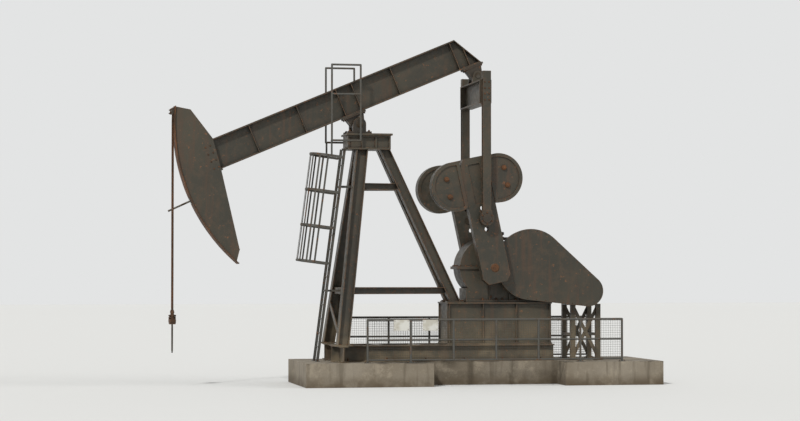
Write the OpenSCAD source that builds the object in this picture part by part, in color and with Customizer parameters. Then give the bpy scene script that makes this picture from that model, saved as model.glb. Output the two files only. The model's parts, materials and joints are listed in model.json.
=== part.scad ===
// Conventional beam pumping unit, 120 inch stroke class, standing on its concrete block.
// X runs from the well towards the motor, Z is up, and the origin is on the ground under
// the centre bearing. The unit stands near the bottom of its stroke, horsehead down.

/* [Foundation] */
// Height of the concrete block
pad_h = 500; // [350:10:800]
// Well end of the block, ahead of the centre bearing
pad_front = 1300; // [1200:10:1600]
// Motor end of the block, behind the centre bearing
pad_rear = 6400; // [6000:10:7000]
// Half width of the block's wide ends
pad_half_w = 1320; // [1300:5:1500]
// Half width of the waist that the cranks pass beside
waist_half_w = 590; // [580:1:600]
// Well end of the waist
waist_front = 1400; // [1250:10:1450]
// Motor end of the waist
waist_rear = 4250; // [4200:10:4500]

/* [Mechanism] */
// Height of the centre bearing above the block
pivot_h = 5050; // [5020:5:5150]
// Height of the crankshaft above the block
shaft_h = 1990; // [1980:1:2050]
// Distance from the centre bearing to the crankshaft, level
shaft_x = 2820; // [2780:5:2860]
// Distance from the centre bearing to the tail bearing
tail_arm = 2820; // [2780:5:2860]
// Crank radius at the wrist pin
wrist_r = 1067; // [1050:1:1080]
// Lean of the cranks towards the well, at rest
crank_lean = 12; // [8:0.5:16]
// Rise of the beam's tail over the level, at rest
rest_tilt = 22.84; // [22.5:0.02:23.2]
// Radius of the horsehead's face about the centre bearing
head_r = 3937; // [3850:1:4000]

/* [Base frame] */
// Depth of the skid's beams
skid_d = 350; // [300:5:400]
// Flange width of the skid's beams
skid_w = 200; // [160:5:210]
// Distance of each rail from the middle
rail_y = 470; // [450:5:480]
// Well end of the rails
rail_front = 640; // [600:5:700]
// Motor end of the rails
rail_rear = 4200; // [4150:10:4240]
// Plate thickness of the rolled beams' flanges
flange_t = 22; // [12:1:30]
// Plate thickness of the rolled beams' webs
web_t = 14; // [8:1:20]

/* [Post] */
// Depth and width of the post's legs
leg_w = 250; // [200:5:280]
// Distance of each front foot ahead of the centre bearing
foot_x = 480; // [450:5:520]
// Distance of each front foot from the middle
foot_y = 950; // [850:5:1000]
// Height at which the rear struts land, above the block
strut_foot_h = 1250; // [1200:5:1300]
// Distance at which the rear struts leave the box under the bearing plate
strut_top_x = 560; // [520:5:600]
// Rear edge of the bearing plate, behind the centre bearing
cap_rear = 700; // [680:5:740]
// Distance at which the rear struts land, behind the centre bearing
strut_foot_x = 2080; // [2050:5:2120]
// Height of the lower braces above the block
brace_low = 1500; // [1450:10:1600]
// Height of the upper braces above the block
brace_high = 3720; // [3650:10:3800]
// Depth of the box under the bearing plate
cap_h = 300; // [250:5:350]
// Thickness of the bearing plate
cap_t = 40; // [25:1:60]
// Height of the centre bearing above its plate
bearing_h = 200; // [180:1:220]

/* [Beam] */
// Depth of the walking beam
beam_d = 660; // [620:5:720]
// Flange width of the walking beam
beam_w = 265; // [240:1:300]
// Height of the beam's underside above the bearings' line
beam_lift = 240; // [220:1:260]
// Motor end of the beam's top flange
beam_rear = 2650; // [2600:5:2750]
// How much further the bottom flange runs
tail_cut = 375; // [350:5:450]

/* [Horsehead] */
// Angle of the top tip above the beam's line
tip_up = 27.8; // [26:0.1:29]
// Angle of the bottom tip below the beam's line
tip_down = 26.4; // [25:0.1:28]
// Half the distance between the side plates' outer faces
head_half_w = 190; // [180:1:220]
// Thickness of the side plates
head_side_t = 12; // [8:1:20]
// Thickness of the rolled face plate
face_t = 20; // [12:1:30]
// Depth of the head from its face to where the beam's top enters
head_depth = 927; // [900:1:960]
// How far the walking beam reaches into the head
head_lap = 290; // [250:5:320]
// Width of the bottom tip
low_tip_w = 238; // [200:1:260]
// Width of the top tip
top_tip_w = 332; // [300:1:360]
// Width of the rolled face plate
face_w = 460; // [440:5:500]

/* [Bearings] */
// Radius of the centre shaft
centre_r = 75; // [60:1:90]
// Radius of the tail shaft
tail_r = 60; // [50:1:70]
// Radius of the crankshaft
crank_r = 100; // [90:1:110]
// Running clearance in the bearings
run_gap = 0.05; // [0.02:0.01:0.09]
// Clearance between pieces that seat on each other
seat_gap = 0.3; // [0.2:0.05:0.5]

/* [Cranks] */
// Inner face of each crank from the middle
crank_in = 640; // [635:1:650]
// Thickness of a crank
crank_t = 220; // [180:5:230]
// Half width of a crank
crank_half_w = 300; // [260:5:320]
// Reach of a crank from the shaft
crank_l = 2390; // [2360:1:2390]
// Radius of a counterweight's rim
weight_r = 525; // [500:1:530]
// Distance of a counterweight's centre along the crank
weight_at = 1855; // [1840:1:1860]
// Reach of the counterweights across the crank
weight_half_w = 1000; // [900:5:1000]
// How far a counterweight stands proud of each side of the crank
weight_proud = 20; // [10:1:25]
// Radius of the wrist pins
wrist_pin_r = 55; // [50:1:60]

/* [Pitmans] */
// Distance of each pitman's middle from the middle of the unit
pitman_y = 1010; // [1005:1:1030]
// Width of a pitman seen from the side
pitman_w = 175; // [150:5:200]
// Thickness of a pitman
pitman_t = 140; // [100:5:150]
// Depth of the equalizer beam
equal_d = 500; // [400:5:520]
// Distance of the equalizer beam's top below the tail bearing
equal_drop = 160; // [155:1:200]
// Width of the equalizer beam seen from the side
equal_w = 260; // [200:5:300]

/* [Gear reducer] */
// Half width of the reducer's housing
box_half_w = 340; // [300:5:345]
// Radius of the housing round the crankshaft
box_r = 640; // [600:5:660]
// Distance of the input shaft behind the crankshaft
input_dx = 860; // [820:5:900]
// Height of the input shaft above the crankshaft
input_dz = 70; // [40:5:100]
// Radius of the input shaft
input_r = 45; // [40:1:50]
// Thickness of the reducer's joint flanges
joint_t = 30; // [20:1:40]

/* [Drive] */
// Distance of the motor shaft behind the centre bearing
motor_x = 4950; // [4900:5:5000]
// Height of the motor shaft above the block
motor_h = 1490; // [1450:5:1520]
// Radius of the motor's body
motor_r = 220; // [180:5:240]
// Height of the motor shaft above the motor's feet
motor_foot_h = 280; // [270:5:300]
// Radius of the large sheave
sheave_r = 600; // [550:5:620]
// Radius of the motor's sheave
small_sheave_r = 140; // [120:5:160]
// Radius of the belt guard round the large sheave
guard_r = 750; // [720:5:780]
// Radius of the belt guard round the motor's sheave
guard_small_r = 320; // [280:5:340]
// Side of the belt guard nearest the unit
guard_in = 420; // [415:1:430]
// Side of the belt guard furthest from the unit
guard_out = 605; // [590:1:610]
// Sheet thickness of the belt guard
guard_t = 5; // [3:0.5:8]

/* [Ladder and guards] */
// Distance of the ladder ahead of the legs
ladder_off = 250; // [240:5:300]
// Half width of the ladder
ladder_half_w = 225; // [200:5:250]
// Spacing of the rungs
rung_step = 300; // [250:5:320]
// Radius of the safety cage
cage_r = 350; // [320:5:380]
// Spacing of the cage's hoops
hoop_step = 760; // [650:10:800]
// Height of the lowest hoop above the block
cage_low = 2050; // [2000:10:2400]
// Height of the top handrail above the centre bearing
rail_top = 1250; // [1150:10:1300]
// Distance of the crank guards in from the block's edges
fence_inset = 70; // [40:5:90]
// Height of the crank guards above the block
fence_h = 900; // [800:10:1100]
// Well end of the crank guards, behind the centre bearing
fence_x = 0; // [-100:10:200]
// Length of one bay of the crank guards
bay_l = 917; // [880:1:940]

/* [Well end] */
// Radius of the bridle's ropes
rope_r = 14; // [11:0.5:16]
// Distance between the bridle's ropes
rope_gap = 280; // [240:5:320]
// Height of the carrier's underside above the block
carrier_h = 800; // [760:5:800]
// Height of the carrier bar
carrier_t = 110; // [80:5:130]
// Radius of the threaded pin at the rod's lower end
pin_r = 15; // [12:0.5:16]
// Length of that pin
pin_l = 45; // [30:1:60]
// Radius of the polished rod
rod_r = 19; // [16:0.5:22]
// Height of the rod's free lower end above the ground
rod_low = 700; // [600:10:800]
// How far the rod stands above the carrier bar
rod_over = 230; // [210:5:235]

/* [Hidden] */
$fn = 64;

big = 20000;
head_fn = 720;
eps = 1;

// Heights over the ground
pivot_z = pad_h + pivot_h;
shaft_z = pad_h + shaft_h;
skid_z = pad_h + skid_d;
cap_z = pivot_z - bearing_h;
box_low = cap_z - cap_t - cap_h;
strut_z = pad_h + strut_foot_h;
motor_z = pad_h + motor_h;

// Places that several parts share
input_x = shaft_x + input_dx;
input_z = shaft_z + input_dz;
fence_y = pad_half_w - fence_inset;
beam_front = head_r - head_depth + head_lap;

// The four bar linkage at rest: wrist pin and tail bearing, then the pitman between them
wrist_x = shaft_x - wrist_r * sin(crank_lean);
wrist_z = shaft_z + wrist_r * cos(crank_lean);
tail_x = tail_arm * cos(rest_tilt);
tail_z = pivot_z + tail_arm * sin(rest_tilt);
pitman_l = norm([tail_x - wrist_x, tail_z - wrist_z]);
pitman_lean = atan2(tail_x - wrist_x, tail_z - wrist_z);

// Colours of the finishes
paint = "#3a3a2c";
worn = "#5b4a34";
bare = "#77716a";
rust = "#6a4630";
concrete = "#8d8576";
galv = "#6f726f";
black = "#1e1e1e";
plate_white = "#d8d8d2";

function lean(a, b) = [
    -asin((b[1] - a[1]) / norm(b - a)),
    atan2(b[0] - a[0], b[2] - a[2]),
    0
];

// A 2D profile carried from point a to point b, its x kept level
module strut(a, b) {
    translate(a) rotate(lean(a, b)) linear_extrude(norm(b - a)) children();
}

// A flat outline in X and Z, given thickness along Y from y0 to y1
module side_plate(y0, y1) {
    translate([0, y1, 0]) rotate([90, 0, 0]) linear_extrude(y1 - y0) children();
}

// A round bar along Y
module cross_bar(x, z, r, y0, y1) {
    translate([x, y0, z]) rotate([-90, 0, 0]) cylinder(r = r, h = y1 - y0);
}

// Rolled beam section, d along x and w along y
module i_section(d, w, tf = flange_t, tw = web_t) {
    square([d, tw], center = true);
    for (s = [-1, 1])
        translate([s * (d - tf) / 2, 0]) square([tf, w], center = true);
}

// A beam along X with its flanges level
module x_beam(x0, x1, y, z0, d, w) {
    translate([x0, y, z0 + d / 2]) rotate([0, 90, 0]) linear_extrude(x1 - x0)
        i_section(d, w);
}

// A beam along Y with its flanges level
module y_beam(y0, y1, x, z0, d, w) {
    translate([x, y0, z0 + d / 2]) rotate([-90, 0, 0]) linear_extrude(y1 - y0)
        rotate(90) i_section(d, w);
}

// Two circles joined by their outer tangents, which sink a hair so that they cross the rims
sink = 0.05;

module loop2d(c1, r1, c2, r2) {
    span = norm(c2 - c1);
    along = atan2(c2[1] - c1[1], c2[0] - c1[0]);
    open = acos((r1 - r2) / span);
    function rim(c, r, a) = c + (r - sink) * [cos(a), sin(a)];
    translate(c1) circle(r1);
    translate(c2) circle(r2);
    polygon([
        rim(c1, r1, along + open), rim(c2, r2, along + open),
        rim(c2, r2, along - open), rim(c1, r1, along - open)
    ]);
}

module at_beam() {
    translate([0, 0, pivot_z]) rotate([0, -rest_tilt, 0]) children();
}

module at_tail() {
    translate([tail_x, 0, tail_z]) rotate([0, pitman_lean, 0]) children();
}

// Child frame with +X along the crank and the shaft at the origin
module at_crank() {
    translate([shaft_x, 0, shaft_z]) rotate([0, -90 - crank_lean, 0]) children();
}

module foundation() {
    mid_l = waist_rear - waist_front;
    color(concrete) {
        translate([-pad_front, -pad_half_w, 0])
            cube([pad_front + waist_front, 2 * pad_half_w, pad_h]);
        translate([waist_front - eps, -waist_half_w, 0])
            cube([mid_l + 2 * eps, 2 * waist_half_w, pad_h]);
        translate([waist_rear, -pad_half_w, 0])
            cube([pad_rear - waist_rear, 2 * pad_half_w, pad_h]);
    }
}

module skid_rails() {
    color(paint) for (s = [-1, 1])
        x_beam(-rail_front, rail_rear, s * rail_y, pad_h, skid_d, skid_w);
}

cross_half = rail_y - skid_w / 2;
outrigger_in = rail_y + skid_w / 2;
outrigger_out = foot_y + leg_w / 2 + 60;
cross_xs = [-foot_x, 400, 1240, strut_foot_x, 3200, rail_rear - skid_w / 2];

module skid_cross_members() {
    color(paint) {
        for (x = cross_xs) y_beam(-cross_half, cross_half, x, pad_h, skid_d, skid_w);
        // outriggers under the front legs
        y_beam(outrigger_in, outrigger_out, -foot_x, pad_h, skid_d, skid_w);
        y_beam(-outrigger_out, -outrigger_in, -foot_x, pad_h, skid_d, skid_w);
    }
}

// Middle line of a front leg, from its foot to the box under the bearing plate
leg_top_x = 60;
leg_top_y = 165;
function leg_foot(s) = [-foot_x, s * foot_y, skid_z];
function leg_top(s) = [leg_top_x, s * leg_top_y, box_low];

module leg_line(a, b) {
    dir = (b - a) / norm(b - a);
    strut(a - 200 * dir, b + 200 * dir) children();
}

module between_heights(z0, z1) {
    intersection() {
        children();
        translate([-big / 2, -big / 2, z0]) cube([big, big, z1 - z0]);
    }
}

foot_t = 25;

module front_leg(s) {
    foot = leg_foot(s);
    color(paint) {
        between_heights(skid_z + foot_t - eps, box_low)
            leg_line(foot, leg_top(s)) i_section(leg_w, leg_w);
        translate([foot[0] - leg_w / 2 - 60, foot[1] - leg_w / 2 - 40, skid_z])
            cube([leg_w + 120, leg_w + 80, foot_t]);
    }
}

// A leg's own section with the seat clearance all round
module grown_section(w, tf, tw) {
    g = 2 * seat_gap;
    square([w, tw + g], center = true);
    for (s = [-1, 1])
        translate([s * (w - tf) / 2, 0]) square([tf + g, w + g], center = true);
}

strut_top_y = 150;
strut_foot_y = 250;
strut_w = 200;
function strut_foot(s) = [strut_foot_x, s * strut_foot_y, strut_z];
function strut_top(s) = [strut_top_x, s * strut_top_y, box_low];

module rear_struts() {
    color(paint) for (s = [-1, 1]) {
        between_heights(strut_z + foot_t - eps, box_low)
            leg_line(strut_foot(s), strut_top(s)) i_section(strut_w, strut_w, 18, 12);
        translate([strut_foot_x - 190, s * strut_foot_y - 120, strut_z])
            cube([370, 240, foot_t]);
    }
}

// Point on a leg's middle line at a height
function at_height(a, b, z) = a + (b - a) * (z - a[2]) / (b[2] - a[2]);

brace_zs = [pad_h + brace_low, pad_h + brace_high];
brace_w = 140;

module post_braces() {
    color(paint) difference() {
        union() {
            for (z = brace_zs) {
                p = at_height(leg_foot(1), leg_top(1), z);
                q = at_height(strut_foot(1), strut_top(1), z);
                strut([p[0], -p[1], z], [p[0], p[1], z])
                    i_section(brace_w, brace_w, 12, 8);
                if (z > strut_z)
                    for (s = [-1, 1])
                        strut([p[0] + leg_w / 2 - 5, s * p[1], z],
                              [q[0] - strut_w / 2, s * q[1], z])
                            i_section(brace_w, brace_w, 12, 8);
            }
            // diagonal angles in the front frame's lowest bay
            for (s = [-1, 1]) {
                low = at_height(leg_foot(s), leg_top(s), skid_z + 250);
                high = at_height(leg_foot(-s), leg_top(-s), brace_zs[0] - 250);
                translate([s * (leg_w - flange_t) / 2, 0, 0])
                    strut(low, high) square([12, 100], center = true);
            }
        }
        for (s = [-1, 1]) {
            leg_line(leg_foot(s), leg_top(s)) grown_section(leg_w, flange_t, web_t);
            leg_line(strut_foot(s), strut_top(s)) grown_section(strut_w, 18, 12);
        }
    }
}

cap_front = 290;
cap_half_y = 380;
box_in = 30;

module post_cap() {
    side_in = 70;
    wall = 40;
    pocket = (cap_front + cap_rear - 2 * box_in - 4 * wall) / 3;
    color(paint) {
        translate([-cap_front, -cap_half_y, cap_z - cap_t])
            cube([cap_front + cap_rear, 2 * cap_half_y, cap_t]);
        difference() {
            translate([-cap_front + box_in, -cap_half_y + side_in, box_low])
                cube([cap_front + cap_rear - 2 * box_in, 2 * (cap_half_y - side_in), cap_h + eps]);
            for (s = [-1, 1], k = [0:2])
                translate([box_in - cap_front + wall + k * (pocket + wall),
                           s * (cap_half_y - side_in) - 40, box_low + wall])
                    cube([pocket, 80, cap_h - 2 * wall]);
        }
    }
}

housing_in = 150;
housing_out = 290;

module bearing_block(r, bore, base_half, drop) {
    difference() {
        union() {
            circle(r);
            translate([-r, -drop]) square([2 * r, drop]);
            translate([-base_half, -drop]) square([2 * base_half, 45]);
        }
        circle(bore);
    }
}

module centre_bearings() {
    color(worn) for (s = [-1, 1])
        translate([0, s * (housing_in + housing_out) / 2, pivot_z]) rotate([90, 0, 0])
            linear_extrude(housing_out - housing_in, center = true)
                bearing_block(140, centre_r + run_gap, 260, bearing_h);
}

box_rear = input_x + 420;
box_low_z = strut_z;
pedestal_front = strut_foot_x - 210;
pedestal_rear = box_rear + 60;

module gearbox_pedestal() {
    web_in = 40;
    web_step = (pedestal_rear - pedestal_front - 2 * web_in) / 3;
    color(paint) {
        for (z = [skid_z, strut_z - 30])
            translate([pedestal_front, -rail_y - 60, z])
                cube([pedestal_rear - pedestal_front, 2 * rail_y + 120, 30]);
        for (s = [-1, 1]) translate([pedestal_front, s * (rail_y - 30) - 8, skid_z + 29])
            cube([pedestal_rear - pedestal_front, 16, strut_z - skid_z - 58]);
        for (k = [0:3])
            translate([pedestal_front + web_in + k * web_step - 8, -rail_y - 40, skid_z + 29])
            cube([16, 2 * rail_y + 80, strut_z - skid_z - 58]);
    }
}

module reducer_outline() {
    translate([shaft_x, shaft_z]) circle(box_r);
    translate([input_x, input_z]) circle(box_r * 0.62);
    polygon([
        [shaft_x, shaft_z + box_r], [input_x, input_z + box_r * 0.62],
        [input_x, box_low_z], [shaft_x, box_low_z]
    ]);
}

module gearbox_bores(grow = 0) {
    cross_bar(shaft_x, shaft_z, crank_r + run_gap + grow, -big / 2, big / 2);
    cross_bar(input_x, input_z, input_r + seat_gap, -big / 2, big / 2);
}

boss_r = 230;
boss_half = box_half_w + 40;

// Bosses that carry the two shafts, on both walls
module boss_outline() {
    translate([shaft_x, shaft_z]) circle(boss_r);
    translate([input_x, input_z]) circle(boss_r * 0.6);
}

box_foot_x = pedestal_front + 420;
plinth_h = 300;

module gearbox_base() {
    color(paint) difference() {
        union() {
            side_plate(-boss_half, boss_half) intersection() {
                boss_outline();
                translate([0, box_low_z]) square([big, shaft_z - box_low_z]);
            }
            // ribs under the bosses and between them
            for (x = [shaft_x, (shaft_x + input_x) / 2, input_x])
                translate([x - 9, -boss_half, box_low_z + 49])
                    cube([18, 2 * boss_half, shaft_z - box_low_z - 60]);
            side_plate(-box_half_w, box_half_w) intersection() {
                reducer_outline();
                translate([0, box_low_z]) square([big, shaft_z - box_low_z]);
            }
            side_plate(-box_half_w, box_half_w)
                translate([box_foot_x + 20, box_low_z])
                    square([box_rear - box_foot_x - 60, plinth_h]);
            translate([box_foot_x, -box_half_w - 70, box_low_z])
                cube([box_rear - box_foot_x, 2 * box_half_w + 140, 50]);
            translate([shaft_x - box_r - 60, -box_half_w - 40, shaft_z - joint_t])
                cube([box_rear - shaft_x + box_r + 60, 2 * box_half_w + 80, joint_t]);
        }
        gearbox_bores();
    }
}

module gearbox_cover() {
    color(paint) difference() {
        union() {
            side_plate(-boss_half, boss_half) intersection() {
                boss_outline();
                translate([0, shaft_z]) square([big, big]);
            }
            // lifting lugs cast on the cover's shoulders
            for (x = [shaft_x - 330, input_x + 60])
                side_plate(-12, 12) difference() {
                    translate([x, shaft_z + box_r * 0.62 - 60]) square([140, 170]);
                    translate([x + 70, shaft_z + box_r * 0.62 + 60]) circle(28);
                }
            side_plate(-box_half_w, box_half_w) intersection() {
                reducer_outline();
                translate([0, shaft_z]) square([big, big]);
            }
            translate([shaft_x - box_r - 60, -box_half_w - 40, shaft_z])
                cube([box_rear - shaft_x + box_r + 60, 2 * box_half_w + 80, joint_t]);
            translate([shaft_x + 150, -180, shaft_z + box_r - 40])
                cube([420, 360, 60]);
        }
        gearbox_bores();
    }
}

cap_ring_out = 420;
cap_hub_r = 170;

module gearbox_bearing_caps() {
    color(worn) for (s = [-1, 1]) {
        translate([shaft_x, s * box_half_w, shaft_z]) rotate([-90 * s, 0, 0])
            translate([0, 0, 41]) difference() {
                union() {
                    cylinder(r = boss_r, h = 20);
                    cylinder(r = cap_hub_r, h = 30);
                }
                translate([0, 0, -1]) cylinder(r = crank_r + run_gap, h = 100);
            }
    }
}

module input_shaft() {
    color(bare) cross_bar(input_x, input_z, input_r, -guard_out + 40, cap_ring_out + 60);
}

sheave_w = 120;
sheave_in = 440;

groove_w = 14;
groove_step = 28;
groove_first = 18;

// Distance of a belt's middle from the sheaves' inner face
function belt_y(k) = groove_first + groove_step * k;

// The rim's cylinder with its four belt grooves, its inner face at the origin
module grooved_rim(r) {
    difference() {
        cylinder(r = r, h = sheave_w);
        for (k = [0:3]) translate([0, 0, belt_y(k) - groove_w / 2]) difference() {
            cylinder(r = r + 1, h = groove_w);
            cylinder(r = r - groove_w, h = groove_w);
        }
    }
}

spoke_w = 64;
spoke_t = 28;
rim_t = 60;
sheave_hub_r = 110;

module large_sheave() {
    color(worn) translate([input_x, -sheave_in, input_z]) rotate([90, 0, 0]) difference() {
        union() {
            difference() {
                grooved_rim(sheave_r);
                translate([0, 0, -1]) cylinder(r = sheave_r - rim_t, h = sheave_w + 2);
            }
            cylinder(r = sheave_hub_r, h = sheave_w);
            for (k = [0:5]) rotate(k * 60)
                translate([sheave_hub_r - 10, -spoke_w / 2, (sheave_w - spoke_t) / 2])
                    cube([sheave_r - sheave_hub_r - rim_t + 20, spoke_w, spoke_t]);
        }
        translate([0, 0, -1]) cylinder(r = input_r + seat_gap, h = sheave_w + 2);
    }
}

motor_shaft_r = 40;

module motor_sheave() {
    color(worn) translate([motor_x, -sheave_in, motor_z]) rotate([90, 0, 0]) difference() {
        grooved_rim(small_sheave_r);
        translate([0, 0, -1]) cylinder(r = motor_shaft_r + seat_gap, h = sheave_w + 2);
    }
}

drum_r = 250;
drum_in = 410;
drum_w = 120;
drum_web = 20;
drum_t = 25;
drum_hub_r = 80;

module brake_drum() {
    color(worn) difference() {
        union() {
            difference() {
                cross_bar(input_x, input_z, drum_r, drum_in, drum_in + drum_w);
                cross_bar(input_x, input_z, drum_r - drum_t, drum_in + drum_web, big);
            }
            cross_bar(input_x, input_z, drum_hub_r, drum_in, drum_in + drum_w / 2);
        }
        cross_bar(input_x, input_z, input_r + seat_gap, 0, big);
    }
}

belt_t = 12;

module drive_belts() {
    c1 = [input_x, input_z];
    c2 = [motor_x, motor_z];
    color(black) for (k = [0:3]) {
        y = -sheave_in - belt_y(k);
        side_plate(y - 8, y + 8) difference() {
            loop2d(c1, sheave_r + belt_t, c2, small_sheave_r + belt_t);
            loop2d(c1, sheave_r + seat_gap, c2, small_sheave_r + seat_gap);
        }
    }
}

module guard_outline(grow = 0) {
    loop2d([input_x, input_z], guard_r + grow, [motor_x, motor_z], guard_small_r + grow);
}

module belt_guard() {
    color(paint) difference() {
        side_plate(-guard_out, -guard_in) guard_outline();
        side_plate(-guard_out + guard_t, -guard_in + 1) guard_outline(-guard_t);
    }
    color(paint) side_plate(-guard_out, -guard_out + 30) difference() {
        guard_outline(12);
        guard_outline(0);
    }
}

module belt_guard_brackets() {
    color(paint) {
        translate([input_x - 60, -guard_in + seat_gap, box_low_z + 50 + seat_gap])
            cube([120, guard_in - boss_half - 2 * seat_gap, 30]);
        translate([motor_x - 60, -guard_in + seat_gap, motor_z - guard_small_r])
            cube([120, guard_in - stand_half_y - 2 * seat_gap, 60]);
    }
}

stand_top = motor_z - motor_foot_h;
stand_half_x = 330;
stand_half_y = 400;
stand_leg = 100;

stand_rung = 520;

module motor_stand() {
    color(paint) {
        for (sx = [-1, 1], sy = [-1, 1]) {
            x = motor_x + sx * (stand_half_x - stand_leg / 2);
            y = sy * (stand_half_y - stand_leg / 2);
            translate([x - stand_leg / 2, y - stand_leg / 2, pad_h])
                cube([stand_leg, stand_leg, stand_top - pad_h]);
            translate([x - 90, y - 90, pad_h]) cube([180, 180, 20]);
        }
        translate([motor_x - stand_half_x, -stand_half_y, stand_top - 30])
            cube([2 * stand_half_x, 2 * stand_half_y, 30]);
        for (sy = [-1, 1]) {
            y = sy * (stand_half_y - stand_leg / 2);
            for (sx = [-1, 1])
                strut([motor_x - sx * (stand_half_x - 60), y + sx * 10, pad_h + 80],
                      [motor_x + sx * (stand_half_x - 60), y + sx * 10, stand_top - 60])
                    square([70, 18], center = true);
        }
        for (sx = [-1, 1])
            translate([motor_x + sx * (stand_half_x - stand_leg / 2) - 40,
                       -stand_half_y + 10, pad_h + stand_rung])
                cube([80, 2 * stand_half_y - 20, 60]);
    }
}

motor_foot_y = 170;
motor_pad = [400, 90, 30];
terminal_box_w = 220;

module motor() {
    color(worn) {
        difference() {
            union() {
                cross_bar(motor_x, motor_z, motor_r, -260, 300);
                for (k = [0:35]) translate([motor_x, 0, motor_z]) rotate([0, k * 10, 0])
                    translate([motor_r - 5, -230, -5]) cube([26, 460, 10]);
            }
            cross_bar(motor_x, motor_z, 120, 290, 310);
        }
        cross_bar(motor_x, motor_z, motor_r - 40, 299, 360);
        cross_bar(motor_x, motor_z, motor_r - 60, -300, -259);
        cross_bar(motor_x, motor_z, motor_shaft_r, -sheave_in - sheave_w, -299);
        for (s = [-1, 1]) translate([motor_x, s * motor_foot_y, motor_z - motor_foot_h]) {
            translate([0, 0, motor_pad.z / 2]) cube(motor_pad, center = true);
            translate([-130, -30, 0]) cube([260, 60, motor_foot_h - motor_r + 40]);
        }
        translate([motor_x, 0, motor_z + motor_r - 10]) linear_extrude(90)
            square(terminal_box_w, center = true);
    }
}

// The ladder leans with the front legs and stands in the middle of the well side
ladder_lean = atan2(foot_x + leg_top_x, box_low - skid_z);
ladder_top_z = box_low + 60;
ladder_low_z = pad_h + 8;
function leg_x_at(z) = at_height(leg_foot(1), leg_top(1), z)[0];
ladder_foot_x = leg_x_at(ladder_low_z) - leg_w / 2 - ladder_off;
ladder_l = (ladder_top_z - ladder_low_z) / cos(ladder_lean);
rung_r = 12;
rail_w = 60;
rail_t = 12;

module at_ladder() {
    translate([ladder_foot_x, 0, ladder_low_z]) rotate([0, ladder_lean, 0]) children();
}

function ladder_x_at(z) = ladder_foot_x + (z - ladder_low_z) * tan(ladder_lean);

module ladder() {
    rungs = floor(ladder_l / rung_step);
    color(galv) {
        at_ladder() {
            for (s = [-1, 1]) translate([-rail_w / 2, s * ladder_half_w - rail_t / 2, 0])
                cube([rail_w, rail_t, ladder_l - 40]);
            for (k = [1:rungs - 1]) translate([0, -ladder_half_w, k * rung_step])
                rotate([-90, 0, 0]) cylinder(r = rung_r, h = 2 * ladder_half_w);
        }
        // stand-off brackets to the braces and to the bearing box
        for (z = brace_zs, s = [-1, 1]) {
            x0 = ladder_x_at(z) + 20;
            x1 = leg_x_at(z) - brace_w / 2 - seat_gap;
            translate([x0, s * 120 - 5, z - 20]) cube([x1 - x0, 10, 40]);
            translate([x0, -ladder_half_w, z - 20]) cube([10, 2 * ladder_half_w, 40]);
        }
        for (s = [-1, 1]) {
            z = box_low + 20;
            x0 = ladder_x_at(z) + 10;
            translate([x0, s * (ladder_half_w - 1) - 6, z - 25])
                cube([-cap_front + box_in - seat_gap - x0, 12, 50]);
        }
    }
}

hoop_t = 8;
hoop_w = 50;
cage_deep = 700;

module hoop_outline(grow = 0) {
    r = cage_r + grow;
    c = -(cage_deep - cage_r);
    translate([c, 0]) circle(r);
    translate([c, -r]) square([-c - rail_w / 2, 2 * r]);
}

module cage_hoop() {
    linear_extrude(hoop_w) intersection() {
        difference() {
            hoop_outline(0);
            hoop_outline(-hoop_t);
        }
        translate([-big - rail_w / 2, -big / 2]) square(big);
    }
    for (s = [-1, 1]) translate([-rail_w / 2 - hoop_t,
            s > 0 ? ladder_half_w + rail_t / 2 - 12 : -cage_r, 0])
        cube([hoop_t, cage_r - ladder_half_w - rail_t / 2 + 12, hoop_w]);
}

module ladder_cage() {
    z0 = (cage_low - (ladder_low_z - pad_h)) / cos(ladder_lean);
    hoops = floor((ladder_l - z0) / hoop_step);
    top = z0 + hoops * hoop_step;
    c = -(cage_deep - cage_r);
    color(galv) at_ladder() {
        for (k = [0:hoops]) translate([0, 0, z0 + k * hoop_step]) cage_hoop();
        for (a = [-90, -60, -30, 0, 30, 60, 90])
            translate([c, 0, z0]) rotate(a) translate([-cage_r + hoop_t - 1, -20, 0])
                cube([6, 40, top - z0 + hoop_w]);
    }
}

rail_r = 21;
top_rail_y = cap_half_y + rail_r + 10;
rail_front_x = -620;

module ladder_top_rail() {
    top = pivot_z + rail_top;
    low = cap_z - cap_t - 120;
    color(galv) for (s = [-1, 1]) {
        y = s * top_rail_y;
        translate([0, y, low]) cylinder(r = rail_r, h = top - low);
        translate([rail_front_x, y, low]) cylinder(r = rail_r, h = top - low);
        for (z = [low, pivot_z + rail_top / 2, top]) translate([rail_front_x, y, z])
            rotate([0, 90, 0]) cylinder(r = rail_r, h = -rail_front_x);
        for (x = [rail_front_x, 0], z = [low, top]) translate([x, y, z])
            sphere(r = rail_r);
        translate([-40, y - (s > 0 ? rail_r + 9.7 : 0), cap_z - cap_t])
            cube([80, rail_r + 9.7, 30]);
        translate([rail_front_x, min(y, s * (ladder_half_w - 5)), low - 5])
            cube([12, top_rail_y - ladder_half_w + 5, 10]);
    }
}

fence_r = 24;
bays = 6;
fence_mid = 0.5;

module crank_guard(s) {
    y = s * fence_y;
    low = pad_h + 60;
    top = pad_h + fence_h;
    color(galv) {
        for (k = [0:bays]) {
            x = fence_x + k * bay_l;
            stands = x < waist_front - 100 || x > waist_rear + 100;
            z0 = stands ? pad_h : low;
            translate([x, y, z0]) cylinder(r = fence_r, h = top - z0);
            if (stands) translate([x - 70, y - 60, pad_h]) cube([140, 120, 12]);
        }
        for (z = [low, low + (top - low) * fence_mid, top])
            translate([fence_x, y, z]) rotate([0, 90, 0])
                cylinder(r = z == top ? fence_r : 18, h = bays * bay_l);
        for (x = [fence_x, fence_x + bays * bay_l]) translate([x, y, top])
            sphere(r = fence_r);
    }
}

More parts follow.
